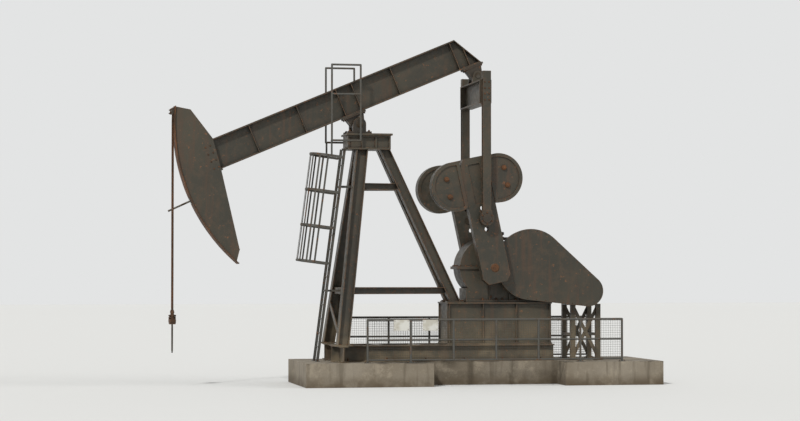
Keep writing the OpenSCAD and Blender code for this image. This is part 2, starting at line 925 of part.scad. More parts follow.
module sign_plates() {
    w = 330;
    h = 230;
    z = pad_h + fence_h - h;
    color(plate_white) for (x = [fence_x + 0.78 * bay_l, fence_x + 1.45 * bay_l])
        translate([x - w / 2, -fence_y - fence_r - 3, z])
            cube([w, 3, h]);
}

beam_step = 1100;
beam_low = beam_lift;
beam_high = beam_lift + beam_d;

module beam_outline() {
    polygon([
        [-beam_front, beam_low], [beam_rear + tail_cut, beam_low],
        [beam_rear, beam_high], [-beam_front, beam_high]
    ]);
}

module walking_beam() {
    head = -beam_front;
    half = beam_w / 2 - 6;
    flange = flange_t + 6;
    color(paint) at_beam() {
        side_plate(-web_t / 2, web_t / 2) beam_outline();
        side_plate(-beam_w / 2, beam_w / 2) intersection() {
            beam_outline();
            union() {
                translate([head, beam_low]) square([beam_rear + tail_cut - head, flange]);
                translate([head, beam_high - flange]) square([beam_rear - head, flange]);
            }
        }
        // web stiffeners, then the plate that closes the slanted end
        side_plate(-half, half) intersection() {
            beam_outline();
            for (x = [head, -2 * beam_step, -beam_step, -180, 180, beam_step,
                      tail_arm - 300, tail_arm - 60])
                translate([x, beam_low + flange_t]) square([14, beam_d - 2 * flange_t]);
        }
        side_plate(-half, half) difference() {
            beam_outline();
            translate([-20, 0]) beam_outline();
        }
    }
}

saddle_half = 110;
saddle_l = 520;

module beam_saddle() {
    color(worn) at_beam() difference() {
        union() {
            translate([-saddle_l / 2, -beam_w / 2 - 20, beam_low - 40 - seat_gap])
                cube([saddle_l, beam_w + 40, 40]);
            side_plate(-saddle_half, saddle_half) polygon([
                [-210, beam_low - 40], [210, beam_low - 40], [125, -60], [-125, -60]
            ]);
            cross_bar(0, 0, 135, -saddle_half, saddle_half);
        }
        cross_bar(0, 0, centre_r, -200, 200);
    }
}

module centre_shaft() {
    color(bare) at_beam() {
        cross_bar(0, 0, centre_r, -housing_out - 12, housing_out + 12);
    }
}

tail_half = 140;

module tail_bearing() {
    color(worn) at_beam() difference() {
        union() {
            translate([tail_arm - 230, -beam_w / 2 - 20, beam_low - 45 - seat_gap])
                cube([460, beam_w + 40, 45]);
            side_plate(-tail_half, tail_half) polygon([
                [tail_arm - 180, beam_low - 40], [tail_arm + 180, beam_low - 40],
                [tail_arm + 118, -20], [tail_arm - 118, -20]
            ]);
            cross_bar(tail_arm, 0, 120, -tail_half, tail_half);
        }
        cross_bar(tail_arm, 0, tail_r + run_gap, -200, 200);
    }
}

// The crescent seen from the side: an arc in front and three straight edges behind
head_back_x = -head_r + head_depth;

module head_outline(r) {
    intersection() {
        circle(r, $fn = head_fn);
        polygon([
            [head_back_x - 90, beam_low - 20],
            (head_r - low_tip_w) * [-cos(tip_down - 2.8), -sin(tip_down - 2.8)],
            head_r * 1.03 * [-cos(tip_down), -sin(tip_down)],
            [-head_r * 1.1, -head_r * 0.25], [-head_r * 1.1, head_r * 0.25],
            head_r * 1.03 * [-cos(tip_up), sin(tip_up)],
            (head_r - top_tip_w) * [-cos(tip_up - 0.7), sin(tip_up - 0.7)],
            [head_back_x, beam_high]
        ]);
    }
}

module head_band(r0, r1) {
    difference() {
        intersection() {
            circle(r1, $fn = head_fn);
            polygon([
                [0, 0],
                big * [-cos(tip_down), -sin(tip_down)],
                [-big, 0],
                big * [-cos(tip_up), sin(tip_up)]
            ]);
        }
        circle(r0, $fn = head_fn);
    }
}

module horsehead_sides() {
    inner_r = head_r - face_t - seat_gap;
    color(paint) at_beam() for (s = [-1, 1]) {
        y0 = s > 0 ? head_half_w - head_side_t : -head_half_w;
        side_plate(y0, y0 + head_side_t) head_outline(inner_r);
    }
}

module horsehead_face() {
    color(worn) at_beam() side_plate(-face_w / 2, face_w / 2)
        head_band(head_r - face_t, head_r);
}

seat_out = 550;
seat_l = 500;

module horsehead_ribs() {
    half = head_half_w - head_side_t - seat_gap;
    r1 = head_r - face_t - seat_gap;
    color(paint) at_beam() {
        for (a = [-21, -12.5, 17.5, 23.5]) rotate([0, -a, 0]) {
            back = abs(a) > 20 ? r1 - 230 : r1 - 420;
            translate([-r1 + 2, -half, -6]) cube([r1 - back - 2, 2 * half, 12]);
        }
        // the two seats that hold the head on the end of the beam
        for (z = [beam_low - 31 - seat_gap, beam_high + seat_gap])
            translate([head_back_x - seat_out, -half, z]) cube([seat_l, 2 * half, 30]);
        translate([-beam_front - 40, -half, beam_low - 30])
            cube([25, 2 * half, beam_d + 60]);
    }
}

guide_l = 520;

module rope_guide_arm() {
    color(bare) at_beam() rotate([0, -2, 0]) {
        translate([-head_r - guide_l, 0, 0]) rotate([0, 90, 0])
            cylinder(r = 20, h = guide_l - seat_gap);
        translate([-head_r - 14, -70, -70]) cube([14 - seat_gap, 140, 140]);
    }
}

anchor_a = tip_up - 1.6;

module rope_anchors() {
    track = head_r + rope_r;
    color(worn) at_beam() for (s = [-1, 1]) {
        y = s * rope_gap / 2;
        rotate([0, anchor_a, 0]) translate([-head_r - 70, y - 35, -60])
            cube([70 - seat_gap, 70, 120]);
        // the rope lies on the face from its anchor down to where it hangs clear
        translate([0, y, 0]) rotate([90, 0, 0]) rotate(180 - anchor_a + 0.9)
            rotate_extrude(angle = anchor_a - 0.9 - rest_tilt, $fn = head_fn)
                translate([track + seat_gap, 0]) circle(rope_r, $fn = 24);
    }
}

equal_top = -equal_drop;
pitman_in = pitman_y - pitman_t / 2;

module equalizer_beam() {
    color(paint) at_tail() {
        difference() {
            translate([-equal_w / 2, -pitman_in + seat_gap, equal_top - equal_d])
                cube([equal_w, 2 * (pitman_in - seat_gap), equal_d]);
            for (s = [-1, 1]) translate([s * (equal_w / 2), 0, equal_top - equal_d / 2])
                cube([equal_w - 16, 2 * pitman_in - 60, equal_d - 50], center = true);
        }
        for (s = [-1, 1]) {
            y0 = s > 0 ? tail_half + 20 : -tail_half - 80;
            difference() {
                union() {
                    side_plate(y0, y0 + 60) polygon([
                        [-125, equal_top], [125, equal_top], [95, 0], [-95, 0]
                    ]);
                    cross_bar(0, 0, 95, y0, y0 + 60);
                }
                cross_bar(0, 0, tail_r, -big, big);
            }
        }
    }
}

module tail_shaft() {
    color(bare) at_tail() cross_bar(0, 0, tail_r, -tail_half - 95, tail_half + 95);
}

housing_r = 150;

module pitman(s) {
    foot = -pitman_l + housing_r + 20;
    color(paint) at_tail() difference() {
        translate([-pitman_w / 2, s * pitman_y - pitman_t / 2, foot])
            cube([pitman_w, pitman_t, -foot + 20]);
        for (t = [-1, 1]) translate([t * pitman_w / 2, s * pitman_y, foot / 2])
            cube([pitman_w - 16, pitman_t - 36, -foot - 300], center = true);
    }
}

wrist_half = 75;
cover_in = pitman_y + wrist_half - eps;
cover_out = pitman_y + wrist_half + 20;

module wrist_bearings() {
    color(worn) at_tail() for (s = [-1, 1]) {
        cross_bar(0, -pitman_l, housing_r, s * pitman_y - wrist_half, s * pitman_y + wrist_half);
        cross_bar(0, -pitman_l, 90, s > 0 ? cover_in : -cover_out, s > 0 ? cover_out : -cover_in);
        translate([-pitman_w / 2 - 20, s * pitman_y - wrist_half, -pitman_l + 60])
            cube([pitman_w + 40, 2 * wrist_half, housing_r - 40 - seat_gap]);
    }
}

module crankshaft() {
    color(bare) cross_bar(shaft_x, shaft_z, crank_r, -crank_in - crank_t, crank_in + crank_t);
}

crank_out = crank_in + crank_t;
tip_half_w = 210;
hub_proud = 20;

module crank(s) {
    y0 = s > 0 ? crank_in : -crank_out;
    hub_y = s > 0 ? crank_in - hub_proud : -crank_out;
    color(paint) at_crank() difference() {
        union() {
            side_plate(y0, y0 + crank_t) polygon([
                [-330, -200], [-200, -crank_half_w], [crank_l - 160, -crank_half_w],
                [crank_l, -tip_half_w], [crank_l, tip_half_w],
                [crank_l - 160, crank_half_w], [-200, crank_half_w], [-330, 200]
            ]);
            cross_bar(0, 0, 210, hub_y, hub_y + crank_t + hub_proud);
        }
        cross_bar(0, 0, crank_r + seat_gap, -big, big);
        for (r = [wrist_r - 230, wrist_r + 230]) cross_bar(r, 0, 50, -big, big);
        cross_bar(wrist_r, 0, wrist_pin_r + seat_gap, -big, big);
        // recess along each face between the holes and the tip
        for (y = [y0 - 1, y0 + crank_t - 29])
            side_plate(y, y + 30) translate([wrist_r + 340, -130])
                square([crank_l - wrist_r - 480, 260]);
    }
}

weight_bolt_x = 190;
weight_bolt_z = 640;

// One D shaped weight on each edge of the crank
module counterweights(s) {
    y0 = s > 0 ? crank_in - weight_proud : -crank_out - weight_proud;
    t = crank_t + 2 * weight_proud;
    color(paint) at_crank() for (side = [-1, 1]) difference() {
        side_plate(y0, y0 + t) weight_outline(side, 0);
        for (y = [y0 - 1, y0 + t - 29]) side_plate(y, y + 30) weight_outline(side, 70);
        for (d = [-1, 1])
            cross_bar(weight_at + d * weight_bolt_x, side * weight_bolt_z, 38, -big, big);
    }
}

module weight_outline(side, inset) {
    edge = crank_half_w + seat_gap + inset;
    intersection() {
        translate([weight_at, side * (weight_half_w - weight_r)]) circle(weight_r - inset);
        translate([0, side > 0 ? edge : -big - edge]) square([big, big]);
    }
}

pin_gap = 6;
collar_r = wrist_pin_r + 30;

module wrist_pins() {
    color(bare) at_crank() for (s = [-1, 1]) {
        y_out = pitman_y - wrist_half - pin_gap;
        cross_bar(wrist_r, 0, wrist_pin_r, s > 0 ? crank_in - hub_proud : -y_out,
                  s > 0 ? y_out : -crank_in + hub_proud);
        cross_bar(wrist_r, 0, collar_r, s > 0 ? crank_in - hub_proud : -crank_in + seat_gap,
                  s > 0 ? crank_in - seat_gap : -crank_in + hub_proud);
    }
}

rope_x = -head_r - rope_r - seat_gap;
carrier_z = pad_h + carrier_h;
carrier_half = rope_gap / 2 + 90;
socket_l = 190;
rope_low = carrier_z + carrier_t + socket_l;

module bridle_ropes() {
    color(rust) for (s = [-1, 1]) translate([rope_x, s * rope_gap / 2, rope_low - 60])
        cylinder(r = rope_r, h = pivot_z - rope_low + 60, $fn = 24);
}

module rope_sockets() {
    color(rust) for (s = [-1, 1]) translate([rope_x, s * rope_gap / 2, 0]) difference() {
        union() {
            translate([0, 0, carrier_z + carrier_t + seat_gap])
                cylinder(r = 26, h = socket_l - 40);
            translate([0, 0, rope_low - 60]) cylinder(r1 = 36, r2 = 22, h = 60);
            translate([0, 0, carrier_z + carrier_t + seat_gap])
                cylinder(r = 40, h = 24);
            translate([0, -45, carrier_z + carrier_t + 75]) rotate([-90, 0, 0])
                cylinder(r = 12, h = 90);
        }
        translate([0, 0, rope_low - 60]) cylinder(r = rope_r + seat_gap, h = 100);
    }
}

module carrier_bar() {
    color(rust) translate([rope_x, 0, carrier_z]) difference() {
        side_x() intersection() {
            translate([-carrier_half, 0]) square([2 * carrier_half, carrier_t]);
            translate([0, 460]) circle(470);
        }
        translate([0, 0, -1]) cylinder(r = rod_r + 3, h = carrier_t + 2);
    }
}

// A flat outline in Y and Z, given thickness along X about the middle
module side_x(t = 120) {
    rotate([90, 0, 90]) linear_extrude(t, center = true) children();
}

rod_top = carrier_z + carrier_t + rod_over;

module polished_rod() {
    color(bare) translate([rope_x, 0, rod_low]) {
        translate([0, 0, pin_l]) cylinder(r = rod_r, h = rod_top - rod_low - pin_l);
        cylinder(r = pin_r, h = pin_l + eps);
    }
}

clamp_h = 90;

module rod_clamp() {
    z0 = carrier_z + carrier_t + seat_gap;
    color(rust) translate([rope_x, 0, z0]) {
        difference() {
            union() {
                cylinder(r = 55, h = clamp_h);
                for (z = [22, clamp_h - 22], y = [-1, 1]) translate([-75, y * 40, z])
                    rotate([0, 90, 0]) cylinder(r = 11, h = 150);
                translate([0, 0, rod_over - 150]) cylinder(r = 32, h = 110);
            }
            translate([0, 0, -1]) cylinder(r = rod_r + seat_gap, h = rod_over);
        }
    }
}

foundation();
skid_rails();
skid_cross_members();
front_leg(-1);  // front_leg_near
front_leg(1);  // front_leg_far
rear_struts();
post_braces();
post_cap();
centre_bearings();
gearbox_pedestal();
gearbox_base();
gearbox_cover();
gearbox_bearing_caps();
input_shaft();
large_sheave();
brake_drum();
drive_belts();
belt_guard();
belt_guard_brackets();
motor_stand();
motor();
motor_sheave();
ladder();
ladder_cage();
ladder_top_rail();
crank_guard(-1);  // crank_guard_near
crank_guard(1);  // crank_guard_far
sign_plates();
walking_beam();
beam_saddle();
centre_shaft();
tail_bearing();
horsehead_sides();
horsehead_face();
horsehead_ribs();
rope_guide_arm();
rope_anchors();
equalizer_beam();
tail_shaft();
pitman(-1);  // pitman_near
pitman(1);  // pitman_far
wrist_bearings();
crankshaft();
crank(-1);  // crank_near
crank(1);  // crank_far
counterweights(-1);  // counterweights_near
counterweights(1);  // counterweights_far
wrist_pins();
bridle_ropes();
rope_sockets();
carrier_bar();
polished_rod();
rod_clamp();
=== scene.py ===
"""Looks of a conventional beam pumping unit: weathered steel on a concrete block."""

import json
import math

import bmesh
import bpy
import numpy as np
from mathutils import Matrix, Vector


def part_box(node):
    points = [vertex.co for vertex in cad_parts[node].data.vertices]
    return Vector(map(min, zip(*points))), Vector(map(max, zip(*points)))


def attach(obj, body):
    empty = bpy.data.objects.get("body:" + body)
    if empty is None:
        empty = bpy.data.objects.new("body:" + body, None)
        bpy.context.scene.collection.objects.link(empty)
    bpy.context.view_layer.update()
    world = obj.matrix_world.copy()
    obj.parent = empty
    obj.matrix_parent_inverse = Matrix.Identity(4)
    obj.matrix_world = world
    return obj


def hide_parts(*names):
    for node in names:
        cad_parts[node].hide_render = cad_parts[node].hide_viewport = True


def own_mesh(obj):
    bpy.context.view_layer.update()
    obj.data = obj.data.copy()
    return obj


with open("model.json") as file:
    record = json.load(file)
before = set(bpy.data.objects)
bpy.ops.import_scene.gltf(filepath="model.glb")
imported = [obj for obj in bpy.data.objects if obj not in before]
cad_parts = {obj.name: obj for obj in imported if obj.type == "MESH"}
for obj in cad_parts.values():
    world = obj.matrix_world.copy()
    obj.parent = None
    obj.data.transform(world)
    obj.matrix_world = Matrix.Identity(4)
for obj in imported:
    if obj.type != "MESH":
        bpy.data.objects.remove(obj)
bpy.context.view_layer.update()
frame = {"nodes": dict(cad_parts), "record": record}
scene = bpy.context.scene
scene.view_settings.view_transform = "Standard"

TAU = 2 * math.pi


# Colours and nodes

def srgb(code):
    """A hex colour as written on screen, turned to linear light."""
    parts = [int(code[i:i + 2], 16) / 255 for i in (1, 3, 5)]
    linear = [c / 12.92 if c <= 0.04045 else ((c + 0.055) / 1.055) ** 2.4 for c in parts]
    return (*linear, 1.0)


def add(tree, kind, links=None, **settings):
    """Adds a node, sets its properties and sockets, and joins sockets to other nodes' outputs."""
    made = tree.nodes.new(kind)
    sockets = settings.pop("sockets", {})
    for key, value in settings.items():
        setattr(made, key, value)
    for key, value in sockets.items():
        made.inputs[key].default_value = value
    for key, source in (links or {}).items():
        tree.links.new(source, made.inputs[key])
    return made


def new_material(name):
    """An empty material with its shader and output joined."""
    made = bpy.data.materials.new(name)
    made.use_nodes = True
    tree = made.node_tree
    tree.nodes.clear()
    shader = add(tree, "ShaderNodeBsdfPrincipled")
    add(tree, "ShaderNodeOutputMaterial", {"Surface": shader.outputs[0]})
    return made, tree, shader


def place(tree, scale=(1, 1, 1)):
    """Object coordinates in metres, stretched where a pattern is longer one way."""
    coords = add(tree, "ShaderNodeTexCoord")
    return add(tree, "ShaderNodeMapping", {"Vector": coords.outputs["Object"]},
               sockets={"Scale": scale}).outputs[0]


def noise(tree, vector, size, detail=4.0, rough=0.55):
    """Cloudy pattern whose lumps are about size metres across."""
    return add(tree, "ShaderNodeTexNoise", {"Vector": vector},
               sockets={"Scale": 0.6 / size, "Detail": detail,
                        "Roughness": rough}).outputs["Fac"]


def band(tree, value, low, high, to_low=0.0, to_high=1.0):
    """Eases the part of a value from low to high over a new range, held at its ends."""
    made = add(tree, "ShaderNodeMapRange", {"Value": value}, interpolation_type="SMOOTHSTEP",
               sockets={"From Min": low, "From Max": high, "To Min": to_low, "To Max": to_high})
    return made.outputs["Result"]


def blend(tree, factor, first, second):
    """Mixes two colours, each a hex colour or another node's output."""
    made = add(tree, "ShaderNodeMix", data_type="RGBA")
    for index, source in ((0, factor), (6, first), (7, second)):
        if isinstance(source, str):
            made.inputs[index].default_value = srgb(source)
        elif isinstance(source, (int, float)):
            made.inputs[index].default_value = source
        else:
            tree.links.new(source, made.inputs[index])
    return made.outputs[2]


def combine(tree, kind, first, second):
    """Arithmetic on two values, each a number or another node's output."""
    made = add(tree, "ShaderNodeMath", operation=kind)
    for index, source in ((0, first), (1, second)):
        if isinstance(source, (int, float)):
            made.inputs[index].default_value = source
        else:
            tree.links.new(source, made.inputs[index])
    return made.outputs[0]


def worn_edges(tree, radius):
    """1 along sharp edges and 0 on flat faces, from how far a rounded normal turns."""
    soft = add(tree, "ShaderNodeBevel", samples=4, sockets={"Radius": radius})
    flat = add(tree, "ShaderNodeNewGeometry")
    dot = add(tree, "ShaderNodeVectorMath", {0: soft.outputs[0], 1: flat.outputs["Normal"]},
              operation="DOT_PRODUCT")
    return band(tree, dot.outputs["Value"], 0.995, 0.90)


def painted_corner_shade(tree, distance):
    """1 in corners and crevices, where ambient occlusion paints shade into the colour, and 0 in the
    open.
    """
    made = add(tree, "ShaderNodeAmbientOcclusion", samples=4, sockets={"Distance": distance})
    return band(tree, made.outputs["AO"], 0.75, 0.25)


def height_over_ground(tree, low, high):
    """1 at the height low and under it, fading to 0 at high, in metres."""
    coords = add(tree, "ShaderNodeTexCoord")
    axes = add(tree, "ShaderNodeSeparateXYZ", {"Vector": coords.outputs["Object"]})
    return band(tree, axes.outputs["Z"], low, high, 1.0, 0.0)


def bump(tree, shader, height, depth, strength=0.6, under=None):
    """Raises the surface by up to depth metres."""
    links = {"Height": height}
    if under is not None:
        links["Normal"] = under
    made = add(tree, "ShaderNodeBump", links, sockets={"Distance": depth, "Strength": strength})
    tree.links.new(made.outputs["Normal"], shader.inputs["Normal"])
    return made.outputs["Normal"]


# Materials

def oilfield_paint(name, base, faded, undercoat, rust_share=0.5, chip_size=0.05):
    """Brushed enamel on rolled steel, years outdoors: it fades in clouds, chips along
    edges to brown rust, runs in streaks and gathers pale dust near the ground."""
    made, tree, shader = new_material(name)
    here = place(tree)
    runs = place(tree, (9, 9, 0.7))
    fade = band(tree, noise(tree, here, 1.3, 3), 0.40, 0.62)
    colour = blend(tree, fade, base, faded)
    mottle = band(tree, noise(tree, here, 0.11, 5, 0.65), 0.46, 0.64, 0.0, 0.55)
    colour = blend(tree, mottle, colour, undercoat)
    streak = band(tree, noise(tree, runs, 0.7, 3), 0.52, 0.70, 0.0, 0.5)
    colour = blend(tree, streak, colour, "#4a3423")
    edge = combine(tree, "MULTIPLY", worn_edges(tree, 0.010),
                   band(tree, noise(tree, here, chip_size * 1.6, 3), 0.40, 0.55))
    spots = band(tree, noise(tree, here, chip_size, 6, 0.7),
                 0.66 - 0.08 * rust_share, 0.70 - 0.08 * rust_share)
    chips = combine(tree, "MAXIMUM", edge, combine(tree, "MULTIPLY", spots, rust_share))
    rust = blend(tree, band(tree, noise(tree, here, 0.012, 3), 0.35, 0.65), "#5d3a22", "#8a5a34")
    colour = blend(tree, chips, colour, rust)
    # Painted shade: the colour darkens towards near black in corners, from ambient occlusion.
    painted_shade = combine(tree, "MULTIPLY", painted_corner_shade(tree, 0.12), 0.7)
    colour = blend(tree, painted_shade, colour, "#14120e")
    dust = combine(tree, "MULTIPLY", height_over_ground(tree, 0.5, 1.9),
                   band(tree, noise(tree, here, 0.35, 4), 0.35, 0.65, 0.1, 0.55))
    colour = blend(tree, dust, colour, "#8b7c62")
    tree.links.new(colour, shader.inputs["Base Color"])
    rough = band(tree, noise(tree, here, 0.05, 4), 0.3, 0.7, 0.42, 0.62)
    rough = combine(tree, "MAXIMUM", rough, combine(tree, "MULTIPLY", chips, 0.85))
    tree.links.new(rough, shader.inputs["Roughness"])
    shader.inputs["Metallic"].default_value = 0.0
    shader.inputs["IOR"].default_value = 1.5
    brush = noise(tree, place(tree, (1, 1, 6)), 0.02, 2)
    under = bump(tree, shader, brush, 0.0006, 0.35)
    raised = combine(tree, "SUBTRACT", 1.0, chips)
    bump(tree, shader, raised, 0.0015, 0.5, under)
    return made


def scaled_steel(name, dark, light):
    """Bare steel that has rusted all over: dark mill scale with orange bloom and pits."""
    made, tree, shader = new_material(name)
    here = place(tree)
    cloud = band(tree, noise(tree, here, 0.18, 5, 0.6), 0.40, 0.62)
    colour = blend(tree, cloud, dark, light)
    pits = noise(tree, here, 0.006, 4, 0.6)
    colour = blend(tree, band(tree, pits, 0.52, 0.68, 0, 0.7), colour, "#2c1c12")
    runs = noise(tree, place(tree, (12, 12, 0.8)), 0.6, 3)
    colour = blend(tree, band(tree, runs, 0.54, 0.7, 0, 0.35), colour, "#8c5b36")
    tree.links.new(colour, shader.inputs["Base Color"])
    tree.links.new(band(tree, pits, 0.3, 0.7, 0.65, 0.92), shader.inputs["Roughness"])
    shader.inputs["Metallic"].default_value = 0.35
    bump(tree, shader, pits, 0.0012, 0.6)
    return made


def sand_casting(name, base, light):
    """Painted iron casting: sandy skin from the mould, oil stained and rusty in spots."""
    made, tree, shader = new_material(name)
    here = place(tree)
    grit = noise(tree, here, 0.004, 3, 0.6)
    cloud = band(tree, noise(tree, here, 0.25, 4), 0.38, 0.64)
    colour = blend(tree, cloud, base, light)
    spots = band(tree, noise(tree, here, 0.06, 5, 0.7), 0.60, 0.68, 0, 0.8)
    colour = blend(tree, spots, colour, "#5a3b24")
    edge = combine(tree, "MULTIPLY", worn_edges(tree, 0.012), 0.8)
    colour = blend(tree, edge, colour, "#6e5138")
    # Painted shade: the colour darkens towards near black in corners, from ambient occlusion.
    colour = blend(tree, combine(tree, "MULTIPLY", painted_corner_shade(tree, 0.1), 0.8), colour, "#0f0d0a")
    tree.links.new(colour, shader.inputs["Base Color"])
    oil = band(tree, noise(tree, here, 0.3, 3), 0.45, 0.6, 0.38, 0.72)
    tree.links.new(oil, shader.inputs["Roughness"])
    shader.inputs["Metallic"].default_value = 0.1
    bump(tree, shader, grit, 0.0015, 0.7)
    return made


def turned_steel(name):
    """Turned and greased shaft steel: fine rings from the lathe under a brown film."""
    made, tree, shader = new_material(name)
    here = place(tree)
    film = band(tree, noise(tree, here, 0.12, 4), 0.38, 0.66)
    colour = blend(tree, film, "#5d5850", "#3c3022")
    tree.links.new(colour, shader.inputs["Base Color"])
    tree.links.new(band(tree, film, 0, 1, 0.28, 0.55), shader.inputs["Roughness"])
    shader.inputs["Metallic"].default_value = 0.9
    bump(tree, shader, noise(tree, place(tree, (1, 12, 1)), 0.01, 2), 0.0003, 0.3)
    return made


def dull_galvanising(name, base, light):
    """Hot dip zinc after years of weather: dull spangle, white bloom and rusty welds."""
    made, tree, shader = new_material(name)
    here = place(tree)
    spangle = add(tree, "ShaderNodeTexVoronoi", {"Vector": here}, sockets={"Scale": 70.0})
    tone = band(tree, spangle.outputs["Color"], 0.0, 1.0, 0.0, 0.45)
    colour = blend(tree, tone, base, light)
    bloom = band(tree, noise(tree, here, 0.2, 5, 0.65), 0.48, 0.66, 0, 0.5)
    colour = blend(tree, bloom, colour, "#57493a")
    rust = band(tree, noise(tree, here, 0.07, 5, 0.7), 0.58, 0.66, 0, 0.85)
    colour = blend(tree, rust, colour, "#6b4427")
    tree.links.new(colour, shader.inputs["Base Color"])
    tree.links.new(band(tree, bloom, 0, 0.5, 0.5, 0.8), shader.inputs["Roughness"])
    shader.inputs["Metallic"].default_value = 0.45
    bump(tree, shader, noise(tree, here, 0.01, 3), 0.0004, 0.4)
    return made


def cast_concrete(name):
    """Board marked concrete: sand grain, pinholes, pour lines, oil under the unit and
    damp earth splashed up its foot."""
    made, tree, shader = new_material(name)
    here = place(tree)
    sand = noise(tree, here, 0.004, 3, 0.7)
    cloud = band(tree, noise(tree, here, 0.9, 5, 0.6), 0.36, 0.66)
    colour = blend(tree, cloud, "#8f8677", "#776d5d")
    patch = band(tree, noise(tree, here, 0.22, 6, 0.7), 0.50, 0.66, 0, 0.6)
    colour = blend(tree, patch, colour, "#a59a87")
    grain = band(tree, sand, 0.40, 0.62, 0, 0.45)
    colour = blend(tree, grain, colour, "#5c5345")
    pores = add(tree, "ShaderNodeTexVoronoi", {"Vector": here}, sockets={"Scale": 38.0})
    holes = band(tree, pores.outputs["Distance"], 0.10, 0.19, 1.0, 0.0)
    holes = combine(tree, "MULTIPLY", holes, band(tree, noise(tree, here, 0.15, 2), 0.48, 0.58))
    colour = blend(tree, combine(tree, "MULTIPLY", holes, 0.75), colour, "#3b352c")
    runs = noise(tree, place(tree, (5, 5, 0.5)), 0.5, 4)
    colour = blend(tree, band(tree, runs, 0.50, 0.68, 0, 0.55), colour, "#51483a")
    foot = combine(tree, "MULTIPLY", height_over_ground(tree, 0.02, 0.30),
                   band(tree, noise(tree, here, 0.18, 5), 0.3, 0.6, 0.3, 0.9))
    colour = blend(tree, foot, colour, "#4f4332")
    oil = combine(tree, "MULTIPLY", band(tree, noise(tree, here, 0.55, 5, 0.6), 0.53, 0.62),
                  combine(tree, "SUBTRACT", 1.0, height_over_ground(tree, 0.47, 0.4999)))
    colour = blend(tree, combine(tree, "MULTIPLY", oil, 0.7), colour, "#2d261d")
    tree.links.new(colour, shader.inputs["Base Color"])
    tree.links.new(band(tree, oil, 0, 1, 0.92, 0.74), shader.inputs["Roughness"])
    shader.inputs["Metallic"].default_value = 0.0
    axes = add(tree, "ShaderNodeSeparateXYZ", {"Vector": here})
    boards = add(tree, "ShaderNodeMath", {0: axes.outputs["Z"]}, operation="PINGPONG",
                 sockets={1: 0.0625})
    seams = band(tree, boards.outputs[0], 0.0, 0.004)
    under = bump(tree, shader, seams, 0.003, 0.5)
    pitted = combine(tree, "SUBTRACT", sand, combine(tree, "MULTIPLY", holes, 2.0))
    bump(tree, shader, pitted, 0.003, 0.6, under)
    return made


def belt_rubber(name):
    """Moulded rubber and cord V belts, chalky black with shiny flanks."""
    made, tree, shader = new_material(name)
    here = place(tree)
    dust = band(tree, noise(tree, here, 0.05, 4), 0.4, 0.65)
    tree.links.new(blend(tree, dust, "#171716", "#2b2925"), shader.inputs["Base Color"])
    tree.links.new(band(tree, dust, 0, 1, 0.55, 0.85), shader.inputs["Roughness"])
    bump(tree, shader, noise(tree, here, 0.004, 2), 0.0004, 0.4)
    return made


def sign_enamel(name):
    """White enamel on sheet steel, chalky, with rust creeping in from the rim."""
    made, tree, shader = new_material(name)
    here = place(tree)
    chalk = band(tree, noise(tree, here, 0.12, 4), 0.4, 0.65)
    colour = blend(tree, chalk, "#c9c8c0", "#b1ada0")
    spots = band(tree, noise(tree, here, 0.03, 6, 0.7), 0.64, 0.70)
    colour = blend(tree, spots, colour, "#7a5233")
    edge = combine(tree, "MULTIPLY", worn_edges(tree, 0.008), 0.7)
    colour = blend(tree, edge, colour, "#6c4a2e")
    tree.links.new(colour, shader.inputs["Base Color"])
    tree.links.new(band(tree, chalk, 0, 1, 0.4, 0.65), shader.inputs["Roughness"])
    shader.inputs["IOR"].default_value = 1.5
    bump(tree, shader, noise(tree, here, 0.02, 2), 0.0005, 0.3)
    return made


MATERIALS = {
    "weathered_paint": oilfield_paint("weathered_olive_enamel", "#2f2c22", "#3d382b", "#46392a",
                                      0.6),
    "cast_iron": sand_casting("painted_iron_casting", "#2b261e", "#3b3226"),
    "bare_steel": turned_steel("greased_shaft_steel"),
    "rusty_steel": scaled_steel("rusted_mill_steel", "#44301f", "#644228"),
    "galvanised_steel": dull_galvanising("dull_galvanised_steel", "#4b4a45", "#5f5d57"),
    "concrete": cast_concrete("board_marked_concrete"),
    "belt_rubber": belt_rubber("v_belt_rubber"),
    "white_plate": sign_enamel("chalky_white_enamel"),
    "motor_paint": oilfield_paint("motor_grey_enamel", "#3c3d38", "#4a4a43", "#50483a",
                                  0.3, 0.03),
}

slot_of = {row["node"]: row["material_slot"] for row in frame["record"]["subparts"]}
for name, part in frame["nodes"].items():
    part.data.materials.clear()
    part.data.materials.append(MATERIALS[slot_of[name]])


# Shapes: each is an array of points and a list of faces

def grid_faces(rows, cols):
    """Four cornered faces between neighbours on a grid whose columns wrap round."""
    r = np.arange(rows - 1)[:, None]
    c = np.arange(cols)[None, :]
    right = (c + 1) % cols
    corners = (r * cols + c, r * cols + right, (r + 1) * cols + right, (r + 1) * cols + c)
    return np.stack([k + 0 * (r + c) for k in corners], axis=-1).reshape(-1, 4).tolist()


def capped(rows, cols):
    """The faces of a closed tube of rings, with a flat lid on each end ring."""
    last = (rows - 1) * cols
    return grid_faces(rows, cols) + [list(range(cols))[::-1], [last + k for k in range(cols)]]


def turned(profile, sides):
    """A profile of (radius, height) swung round the Z axis: x = r cos a, y = r sin a, z = h."""
    r, h = (np.asarray(profile, float)[:, k, None] for k in (0, 1))
    a = TAU * np.arange(sides) / sides
    points = np.stack([r * np.cos(a), r * np.sin(a), h + 0 * a], axis=-1).reshape(-1, 3)
    return points, capped(len(profile), sides)


def block(low, high):
    """A box between two corners."""
    x, y, z = np.stack([low, high], axis=-1)
    ring = np.array([(x[0], y[0]), (x[1], y[0]), (x[1], y[1]), (x[0], y[1])])
    points = np.concatenate([np.c_[ring, np.full(4, k)] for k in z])
    return points, capped(2, 4)


def join(shapes):
    """Several shapes as one."""
    points, faces, start = [], [], 0
    for p, f in shapes:
        points.append(p)
        faces += [[k + start for k in face] for face in f]
        start += len(p)
    return np.concatenate(points), faces


